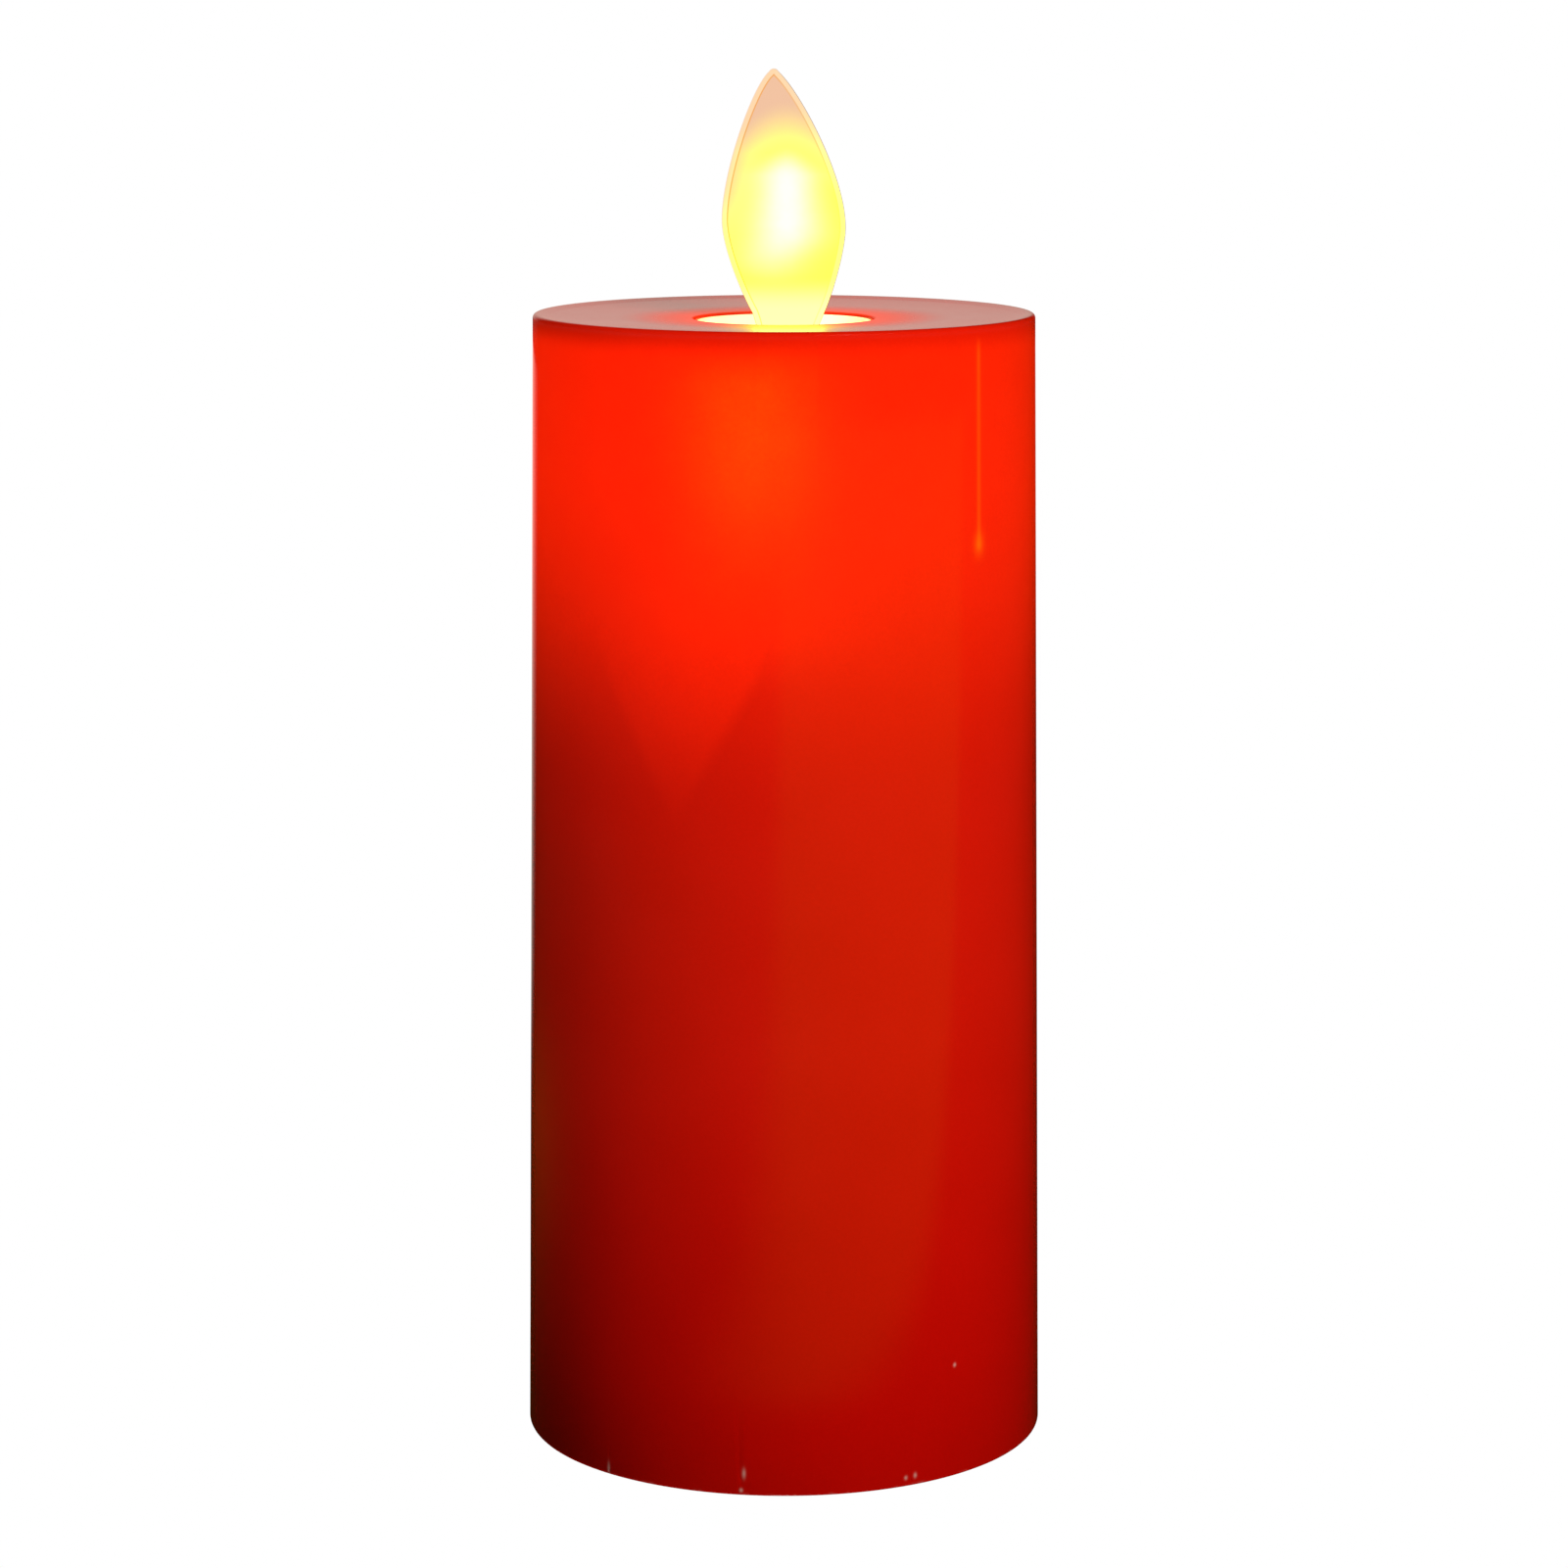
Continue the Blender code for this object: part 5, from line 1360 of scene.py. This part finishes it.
@dataclass
class Screws(SubAssembly):
    """The self-tapping screws, each turned with its thread and cross recess."""

    shank: float = 0.9
    root: float = 0.64
    head_radius: float = 2.1
    head_height: float = 1.3
    pitch: float = 0.55
    groups: tuple = (
        ("base_screw", 3, Head.DOWN), ("module_mount_screw", 2, Head.DOWN),
        ("board_screw", 2, Head.UP), ("module_clamp_screw", 2, Head.FRONT),
    )

    def profile(self, length: float) -> Profile:
        """The screw's section with its head up and its shank's end at the bottom."""
        section: Profile = [(0.0, self.head_height)]
        dome_steps = 8
        for step in range(1, dome_steps + 1):
            angle = math.pi / 2 * step / dome_steps
            radius = self.head_radius * math.sin(angle)
            section.append((radius, self.head_height * (0.25 + 0.75 * math.cos(angle) ** 0.7)))
        section += [(self.head_radius, 0.12), (self.head_radius - 0.12, 0.0), (self.shank, 0.0)]
        height = -0.7
        tip = -length + 1.2
        while height - self.pitch > tip:
            section += [
                (self.root, height), (self.root, height - self.pitch * 0.35),
                (self.shank, height - self.pitch * 0.62), (self.shank, height - self.pitch * 0.70),
            ]
            height -= self.pitch
        section += [(self.root, tip), (self.shank * 0.3, -length), (0.0, -length)]
        return section

    def build(self) -> None:
        """Turn each screw and stand it where its CAD node is."""
        for group, count, head in self.groups:
            for number in range(1, count + 1):
                self.build_screw(f"{group}_{number}", head)

    def build_screw(self, node: str, head: Head) -> None:
        """Turn one screw with its head up, then lay it the way that its head faces."""
        low, high = node_box(node)
        axis, turn = head.value
        length = high[axis] - low[axis] - self.head_height
        screw = lathe(f"fine_{node}", self.profile(length), 40, closed=False)
        combine(screw, Join.AWAY, *cross_recess(0.8, self.head_height, 1.15))
        centre = (low + high) / 2
        if head is Head.UP:
            centre[axis] = high[axis] - self.head_height
        else:
            centre[axis] = low[axis] + self.head_height
        moved(screw, centre, (turn, 0, 0))
        self.publish(screw, "steel", (node,), ZINC)


@dataclass
class FlameModule(SubAssembly):
    """The white housing with the lamp, the coil and the pivot wire."""

    lamp_radius: float = 2.5
    lamp_flange: float = 2.9
    lamp_length: float = 8.6
    bobbin_radius: float = 6.8
    core_radius: float = 2.6
    bore_radius: float = 1.2
    bobbin_flange: float = 1.0
    winding_radius: float = 6.2
    turn_height: float = 0.44

    def build(self) -> None:
        """Build the lamp, the coil and the pivot wire, and dress the housing."""
        for node in ("module_front_shell", "module_rear_shell"):
            round_edges(self.dress(node, HOUSING), 0.2)
        self.build_lamp()
        self.build_coil()
        self.build_pivot()

    def build_lamp(self) -> None:
        """The lamp's dome, flange and flat, and its two leads."""
        half = self.lamp_length / 2
        dome = self.lamp_radius
        section = arc((0.0, half - dome), dome, 90.0, 0.0, 12)
        section += [
            (self.lamp_radius, -half + 1.15), (self.lamp_radius + 0.1, -half + 1.0),
            (self.lamp_flange - 0.1, -half + 1.0), (self.lamp_flange, -half + 0.9),
            (self.lamp_flange, -half + 0.1), (self.lamp_flange - 0.1, -half), (0.0, -half),
        ]
        lamp = lathe("lamp_bulb", section, 64, closed=False)
        flat = block("lamp_flat", (2.62, -4, -half - 1), (4, 4, -half + 1.0))
        combine(lamp, Join.AWAY, flat)
        resmooth(lamp, 35)
        moved(lamp, (0, -10.0, 110.5), (-LAMP_TILT, 0, 0))
        self.publish(lamp, "lamp", ("led_lamp",), LAMP)
        for node in ("led_lead_anode", "led_lead_cathode"):
            smooth_tube(self.dress(node, STEEL))

    def build_coil(self) -> None:
        """The bobbin, and the winding with its turns."""
        low, high = node_box("coil_bobbin")
        top, bottom = high.z, low.z
        flange_top, flange_bottom = top - self.bobbin_flange, bottom + self.bobbin_flange
        section = [
            (self.bore_radius, top), (self.bobbin_radius, top), (self.bobbin_radius, flange_top),
            (self.core_radius, flange_top), (self.core_radius, flange_bottom),
            (self.bobbin_radius, flange_bottom), (self.bobbin_radius, bottom),
            (self.bore_radius, bottom),
        ]
        bobbin = lathe("coil_former", soften(section, 0.18, 3), 96)
        self.publish(bobbin, "housing_white", ("coil_bobbin",), HOUSING)
        inner = self.core_radius + 0.3
        start, end = flange_top - 0.3, flange_bottom + 0.3
        turns = round((start - end) / self.turn_height)
        pitch = (start - end) / turns
        winding: Profile = [(inner, start)]
        per_turn = 6
        for turn in range(turns):
            for step in range(per_turn):
                share = step / per_turn
                bulge = math.sqrt(max(0.0, 1 - (2 * share - 1) ** 2))
                radius = self.winding_radius - pitch * 0.45 * (1 - bulge)
                winding.append((radius, start - (turn + share) * pitch))
        winding += [(self.winding_radius - pitch * 0.45, end), (inner, end)]
        coil = lathe("wound_coil", winding, 80)
        self.publish(coil, "copper", ("coil_winding",), COPPER)
        for node in ("coil_lead_1", "coil_lead_2"):
            smooth_tube(self.dress(node, COPPER))

    def build_pivot(self) -> None:
        """The bent wire that the flame hangs on."""
        low, high = node_box("pivot_wire")
        radius = 0.4
        height = high.z - radius
        corner = high.y - radius - 0.8
        route = [(0, low.y, height), (0, 0, height)]
        bend_steps = 8
        for step in range(bend_steps + 1):
            angle = math.pi / 2 * step / bend_steps
            y = corner + 0.8 * math.sin(angle)
            route.append((0, y, height - 0.8 * (1 - math.cos(angle))))
        route.append((0, high.y - radius, low.z))
        wire = tube("pivot_rod", route, radius, 24)
        self.publish(wire, "steel", ("pivot_wire",), SPRING_STEEL)


@dataclass
class ControlBoard(SubAssembly):
    """The round board with its chip, its capacitor and its transistor."""

    def build(self) -> None:
        """Dress the board and build its parts."""
        self.dress("control_board", BOARD)
        self.build_chip("controller_chip", "flicker_chip", 4, 0.75)
        self.build_chip("driver_transistor", "coil_driver", 2, 0.7)
        self.build_capacitor()

    def build_chip(self, node: str, name: str, legs: int, width: float) -> None:
        """A flat package with bent legs along its two long sides."""
        low, high = node_box(node)
        inset = 0.45
        body = block(
            name, (low.x, low.y + inset, low.z + 0.12), (high.x, high.y - inset, high.z), 0.09,
        )
        dot = moved(rod("dot", 0.22, 0.0, 0.3, steps=20), (low.x + 0.6, low.y + 1.0, high.z - 0.06))
        combine(body, Join.AWAY, dot)
        self.publish(body, "black", (node,), CHIP_BLACK)
        spacing = (high.x - low.x) / legs
        pins = None
        for side in (-1, 1):
            edge = low.y if side < 0 else high.y
            for number in range(legs):
                x = low.x + spacing * (number + 0.5)
                half = min(0.2, width / 3)
                near, far = sorted((edge, edge - side * 0.14))
                inner, outer = sorted((edge - side * 0.04, edge - side * (inset + 0.2)))
                middle = low.z + (high.z - low.z) * 0.45
                down = block(f"{name}_leg", (x - half, near, low.z), (x + half, far, middle), 0.03)
                across = block(
                    f"{name}_arm", (x - half, inner, middle - 0.14), (x + half, outer, middle), 0.03
                )
                if pins is None:
                    pins = combine(down, Join.ON, across)
                    pins.name = f"{name}_pins"
                else:
                    combine(pins, Join.ON, down, across)
        self.publish(pins, "steel", (), SOLDER)

    def build_capacitor(self) -> None:
        """A sleeved can with a crimped foot and a scored lid."""
        low, high = node_box("capacitor")
        centre = (low + high) / 2
        radius = (high.x - low.x) / 2
        height = high.z - low.z
        section = [
            (0.0, height - 0.12), (radius - 0.55, height - 0.12), (radius - 0.5, height),
            (radius - 0.1, height), (radius, height - 0.15), (radius, 1.35), (radius - 0.22, 1.1),
            (radius, 0.85), (radius, 0.1), (radius - 0.12, 0.0), (0.0, 0.0),
        ]
        can = lathe("smoothing_capacitor", soften(section, 0.1, 2, closed=False), 64, closed=False)
        for finish in (CAN_SLEEVE, STEEL, CAN_STRIPE):
            can.data.materials.append(finish.material())
        for face in can.data.polygons:
            place = face.center / MM
            if Vector((place.x, place.y)).length < radius - 0.5 and place.z > 1:
                face.material_index = 1
            elif place.x < -radius * 0.8:
                face.material_index = 2
        moved(can, (centre.x, centre.y, low.z))
        self.publish(can, "black", ("capacitor",))


@dataclass
class BatteryBay(SubAssembly):
    """The two AA cells with their contacts."""

    radius: float = 7.1
    length: float = 50.2
    nub_radius: float = 2.7
    nub_height: float = 1.0

    def build(self) -> None:
        """Build the cells and the spring, and dress the plates."""
        for node, name, upright in (
            ("battery_cell_1", "aa_cell_1", True), ("battery_cell_2", "aa_cell_2", False),
        ):
            self.build_cell(node, name, upright)
        self.build_spring(self, "contact_spring_negative", "cell_spring", 7.7)
        for node in ("contact_plate_positive", "contact_plate_negative"):
            round_edges(self.dress(node, STEEL), 0.08)

    def build_cell(self, node: str, name: str, upright: bool) -> None:
        """A cell with its steel ends, its dark sleeve and its copper-coloured band."""
        shoulder = self.length - self.nub_height
        section = [
            (0.0, self.length), (self.nub_radius, self.length), (self.nub_radius, shoulder - 0.25),
            (self.radius - 1.5, shoulder - 0.25), (self.radius - 1.2, shoulder),
            (self.radius, shoulder), (self.radius, 1.6), (self.radius, 0.2),
            (self.radius - 1.0, 0.2), (self.radius - 1.3, 0.0), (0.0, 0.0),
        ]
        cell = lathe(name, soften(section, 0.3, 3, closed=False), 96, closed=False)
        for finish in (SLEEVE_DARK, SLEEVE_BAND, STEEL):
            cell.data.materials.append(finish.material())
        combine(cell, Join.ON, self.sleeve_ring(shoulder * 0.72))
        for face in cell.data.polygons:
            place = face.center / MM
            reach = Vector((place.x, place.y)).length
            if reach < self.radius - 1.0:
                face.material_index = 2
            elif place.z > shoulder * 0.72:
                face.material_index = 1
            else:
                face.material_index = 0
        resmooth(cell, 35)
        low, high = node_box(node)
        centre = (low + high) / 2
        if upright:
            moved(cell, (centre.x, centre.y, low.z))
        else:
            moved(cell, (centre.x, centre.y, high.z), (180, 0, 0))
        self.publish(cell, "cell", (node,))

    def sleeve_ring(self, height: float) -> Piece:
        """A thin ring inside the sleeve, so that its faces part where the band starts."""
        section = [
            (self.radius - 0.5, height + 0.02), (self.radius - 0.0005, height + 0.02),
            (self.radius - 0.0005, height - 0.02), (self.radius - 0.5, height - 0.02),
        ]
        return lathe("sleeve_ring", section, 96)

    @staticmethod
    def build_spring(owner: SubAssembly, node: str, name: str, centre_x: float) -> None:
        """A conical spring in place of its CAD node, riding with its owner."""
        low, high = node_box(node)
        wire = 0.3
        reach, turns, narrowing = 3.6, 2.5, 0.45
        per_turn = 28
        count = round(turns * per_turn)
        rise = high.z - low.z - 2 * wire
        route = []
        for step in range(count + 1):
            share = step / count
            angle = 2 * math.pi * turns * share
            radius = reach * (1 - narrowing * share)
            spot_x = centre_x + radius * math.cos(angle)
            route.append((spot_x, 4.5 + radius * math.sin(angle), low.z + wire + rise * share))
        spring = tube(name, route, wire, 14)
        owner.publish(spring, "steel", (node,), SPRING_STEEL)


@dataclass
class BaseChassis(SubAssembly):
    """The dark red base plate with the cell wells above it."""

    def build(self) -> None:
        """Dress the chassis, which keeps its CAD shape."""
        round_edges(self.dress("base_chassis", BASE_RED), 0.15)


@dataclass
class BatteryDoor(SubAssembly):
    """The hinged door with its latch, its grip and its bridge contact."""

    body = "door"
    half_length: float = 14.95
    half_width: float = 7.25
    middle_y: float = 4.5
    barrel_width: float = 5.0
    latch_width: float = 7.0
    bottom: float = 0.6
    top: float = 3.0

    def build(self) -> None:
        """Build the door, its bridge plate and its spring."""
        y = self.middle_y
        axis_x, axis_z = -17.15, 1.8
        outline = box_outline(
            (-self.half_length, y - self.half_width), (self.half_length, y + self.half_width), 0.6
        )
        door = plate("cell_door", outline, self.bottom, self.top, 0.3)
        half_barrel = self.barrel_width / 2
        arm = block(
            "arm", (axis_x, y - half_barrel, self.bottom),
            (-self.half_length + 1.0, y + half_barrel, self.top), 0.1,
        )
        barrel = moved(
            rod("barrel", 1.2, -half_barrel, half_barrel, 0.15), (axis_x, y, axis_z), (90, 0, 0)
        )
        stub_half = half_barrel + 1.8
        stub = moved(rod("stub", 0.6, -stub_half, stub_half, 0.15), (axis_x, y, axis_z), (90, 0, 0))
        latch_half = self.latch_width / 2
        tongue = block(
            "tongue", (self.half_length - 1.0, y - latch_half, self.bottom),
            (self.half_length + 2.0, y + latch_half, self.top), 0.3,
        )
        bead = moved(
            rod("bead", 0.35, -latch_half + 0.3, latch_half - 0.3, 0.1),
            (self.half_length + 2.0, y, self.top - 0.7), (90, 0, 0),
        )
        stakes = []
        for number, side in enumerate((-1, 1), 1):
            stake = rod(f"stake_{number}", 0.8, self.top - 0.3, self.top + 1.0, 0.15)
            stakes.append(moved(stake, (0, y + side * 2.25, 0)))
        combine(door, Join.ON, arm, barrel, stub, tongue, bead, *stakes)
        combine(door, Join.AWAY, *self.cutters())
        resmooth(door, 30)
        self.publish(door, "base_red", ("battery_door",), BASE_RED)
        self.build_contacts()

    def cutters(self) -> list:
        """The slots beside the latch, the grip's grooves and the sunken panel outside."""
        y = self.middle_y
        tools = []
        for number, side in enumerate((-1, 1), 1):
            edge = y + side * (self.latch_width / 2 + 0.4)
            slot = block(
                f"slot_{number}", (self.half_length - 4.0, edge - 0.4, -0.3),
                (self.half_length + 0.3, edge + 0.4, self.top + 0.3),
            )
            tools.append(slot)
        for number in range(5):
            x = self.half_length - 0.6 - number * 0.85
            groove = block(
                f"groove_{number}", (x - 0.2, y - 2.8, self.bottom - 0.3),
                (x + 0.2, y + 2.8, self.bottom + 0.3),
            )
            tools.append(groove)
        panel = plate(
            "panel", box_outline((-12.9, y - 5.3), (8.6, y + 5.3), 1.0), self.bottom - 0.3,
            self.bottom + 0.25,
        )
        return [*tools, panel]

    def build_contacts(self) -> None:
        """The bridge plate on its stakes, and the spring under the upright cell."""
        low, high = node_box("door_bridge_plate")
        outline = box_outline((low.x, low.y), (high.x, high.y), 1.2)
        bridge = plate("bridge_contact", outline, low.z, high.z, 0.08)
        holes = []
        for number, side in enumerate((-1, 1), 1):
            hole = rod(f"hole_{number}", 1.1, low.z - 0.5, high.z + 0.5, steps=40)
            holes.append(moved(hole, (0, self.middle_y + side * 2.25, 0)))
        slit = block("slit", (6.2, self.middle_y - 0.25, low.z - 0.5), (9.6, 4.75, high.z + 0.5))
        combine(bridge, Join.AWAY, *holes, slit)
        self.publish(bridge, "steel", ("door_bridge_plate",), STEEL)
        BatteryBay.build_spring(self, "door_bridge_spring", "bridge_spring", -7.7)


@dataclass
class PowerSwitch(SubAssembly):
    """The slide switch: its can on the chassis, and its ribbed knob."""

    def build(self) -> None:
        """Dress the can and build the knob."""
        round_edges(self.dress("switch_can", STEEL), 0.12)
        low, high = node_box("switch_slider")
        centre_x = (low.x + high.x) / 2
        y = (low.y + high.y) / 2
        outline = box_outline((low.x, low.y), (high.x, high.y), 0.4)
        knob = plate("switch_knob", outline, low.z, 2.85, 0.18)
        stem = block("stem", (centre_x - 0.9, y - 0.9, 2.4), (centre_x + 0.9, y + 0.9, high.z), 0.1)
        combine(knob, Join.ON, stem)
        grooves = []
        for number in range(5):
            x = centre_x + (number - 2) * 0.74
            groove = moved(
                rod(f"groove_{number}", 0.2, -3.0, 3.0, steps=20), (x, y, low.z), (90, 0, 0)
            )
            grooves.append(groove)
        combine(knob, Join.AWAY, *grooves)
        resmooth(knob, 30)
        mover = SubAssembly()
        mover.body = "switch"
        mover.publish(knob, "black", ("switch_slider",), BLACK)


@dataclass
class Wiring(SubAssembly):
    """The insulated wires, which keep their CAD routes."""

    wires: tuple = (
        ("led_wire_anode", RED_WIRE), ("led_wire_cathode", BLACK_WIRE),
        ("battery_wire_positive", RED_WIRE), ("battery_wire_negative", BLACK_WIRE),
        ("switch_wire_1", WHITE_WIRE), ("switch_wire_2", WHITE_WIRE),
    )

    def build(self) -> None:
        """Dress each wire."""
        for node, finish in self.wires:
            smooth_tube(self.dress(node, finish))


@dataclass
class Studio:
    """The camera, the pale surroundings and the soft light."""

    distance: float = 466.4
    eye_height: float = 154.06
    pitch: float = 10.3045
    lens: float = 102.93
    key_azimuth: float = 33.0
    key_elevation: float = 32.0
    key_distance: float = 900.0
    key_size: float = 480.0
    key_power: float = 6.4
    low_depth: float = 420.0
    low_size: float = 90.0
    low_power: float = 1.3
    fill: float = 0.14
    floor_fill: float = 1.65
    backdrop: Colour = (0.60, 0.55, 0.47)
    dark: Colour = (0.010, 0.007, 0.001)

    def build(self) -> None:
        """Set the camera, the world, the floor and the lamp."""
        self.place_camera()
        self.light_world()
        self.lay_floor()
        self.hang_key()
        self.light_underside()
        bpy.context.scene.view_settings.view_transform = "Standard"
        bpy.context.scene.view_settings.look = "None"

    def place_camera(self) -> None:
        """The camera in front, looking slightly down."""
        data = bpy.data.cameras.new("studio_camera")
        data.lens = self.lens
        data.sensor_width = 36.0
        camera = bpy.data.objects.new("studio_camera", data)
        camera.location = Vector((0, -self.distance, self.eye_height)) * MM
        camera.rotation_euler = (math.radians(90 - self.pitch), 0, 0)
        bpy.context.scene.collection.objects.link(camera)
        bpy.context.scene.camera = camera

    def light_world(self) -> None:
        """White to the eye, a pale backdrop to gloss, and soft fill to matt faces."""
        world = bpy.data.worlds.new("studio_world")
        bpy.context.scene.world = world
        world.use_nodes = True
        world.node_tree.nodes.clear()
        web = Web(world.node_tree)
        way = web.add("ShaderNodeTexCoord").outputs["Generated"]
        split = web.add("ShaderNodeSeparateXYZ", {"Vector": way}).outputs
        window = behind_window(web, split["X"], split["Y"])
        level = web.ease(split["Z"], -0.08, -0.01) * web.ease(split["Z"], 0.7, 0.4)
        share = window * level
        seen = web.blend(share, self.dark, self.backdrop)
        path = web.add("ShaderNodeLightPath").outputs
        fill = web.blend(path["Is Glossy Ray"], (self.fill,) * 3, seen)
        shown = web.blend(path["Is Camera Ray"], fill, (1.0, 1.0, 1.0))
        background = web.add("ShaderNodeBackground", {"Color": shown, "Strength": 1.0})
        web.add("ShaderNodeOutputWorld", {"Surface": background.outputs[0]})

    def lay_floor(self) -> None:
        """A pale floor that glows: dim beside the candle as painted shade, bright far behind it."""
        shape = bmesh.new()
        bmesh.ops.create_circle(shape, cap_ends=True, radius=1500.0, segments=64)
        floor = keep("studio_floor", shape)
        moved(floor, (0, 0, -0.05))
        material, web, shader = fresh_material("pale_floor")
        tree = material.node_tree
        tree.nodes.remove(shader)
        x, y, _ = spot(web)
        reach, azimuth = polar(web, x, y)
        # what gloss sees: the pale backdrop far behind, a painted yellow reflection ahead on the
        # right and a painted red glow behind on the left
        behind = web.ease(y, 105.0, 240.0) * behind_window(web, x, y)
        patch = web.bell(azimuth, -125.0, 28.0) * web.bell(reach, 150.0, 60.0)
        ahead = web.ease(y, -42.0, -78.0) * web.ease(x, -60.0, 20.0)
        painted_reflection = web.blend(ahead, self.dark, (0.14, 0.12, 0.004))
        painted_reflection = web.blend(behind, painted_reflection, self.backdrop)
        glow = web.blend(patch, painted_reflection, (0.10, 0.035, 0.002))
        # what bounce light sees: painted shade round the candle's foot, brightening far away
        far = web.ease(reach, 40.0, 345.0)
        soft = far * self.floor_fill + 0.01
        path = web.add("ShaderNodeLightPath").outputs
        level = web.blend(path["Is Glossy Ray"], soft, glow)
        light = web.add("ShaderNodeEmission", {"Color": level, "Strength": 1.0}).outputs[0]
        clear = web.add("ShaderNodeBsdfTransparent").outputs[0]
        mixed = web.add("ShaderNodeMixShader", {0: path["Is Camera Ray"], 1: light, 2: clear})
        end = tree.nodes["Material Output"]
        web.feed(end.inputs["Surface"], mixed.outputs[0])
        floor.data.materials.append(material)
        floor.visible_shadow = False

    def hang_key(self) -> None:
        """The large soft lamp on the right of the camera."""
        data = bpy.data.lights.new("key_lamp", "AREA")
        data.shape = "DISK"
        data.size = self.key_size * MM
        data.energy = self.key_power
        lamp = bpy.data.objects.new("key_lamp", data)
        elevation = math.radians(self.key_elevation)
        reach = self.key_distance * math.cos(elevation)
        height = 70.0 + self.key_distance * math.sin(elevation)
        lamp.location = around(reach, self.key_azimuth, height) * MM
        aim = Vector((0, 0, 70.0)) * MM - lamp.location
        lamp.rotation_euler = aim.to_track_quat("-Z", "Y").to_euler()
        lamp.visible_glossy = False
        bpy.context.scene.collection.objects.link(lamp)

    def light_underside(self) -> None:
        """A small lamp far below, which only reaches faces that look down."""
        data = bpy.data.lights.new("low_lamp", "AREA")
        data.shape = "DISK"
        data.size = self.low_size * MM
        data.energy = self.low_power
        lamp = bpy.data.objects.new("low_lamp", data)
        lamp.location = Vector((0, 0, -self.low_depth)) * MM
        lamp.rotation_euler = (math.pi, 0, 0)
        lamp.visible_camera = False
        bpy.context.scene.collection.objects.link(lamp)


def main() -> None:
    """Load the frame, then build the studio and every sub-assembly around it."""
    logging.basicConfig(level=logging.INFO, format="%(message)s")
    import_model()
    Studio().build()
    for assembly in (
        CandleBody(), LightCup(), FlameTab(), Screws(), FlameModule(), ControlBoard(), BatteryBay(),
        BaseChassis(), BatteryDoor(), PowerSwitch(), Wiring(),
    ):
        assembly.build()
        LOG.info("built %s", type(assembly).__name__)


if __name__ == "__main__":
    main()
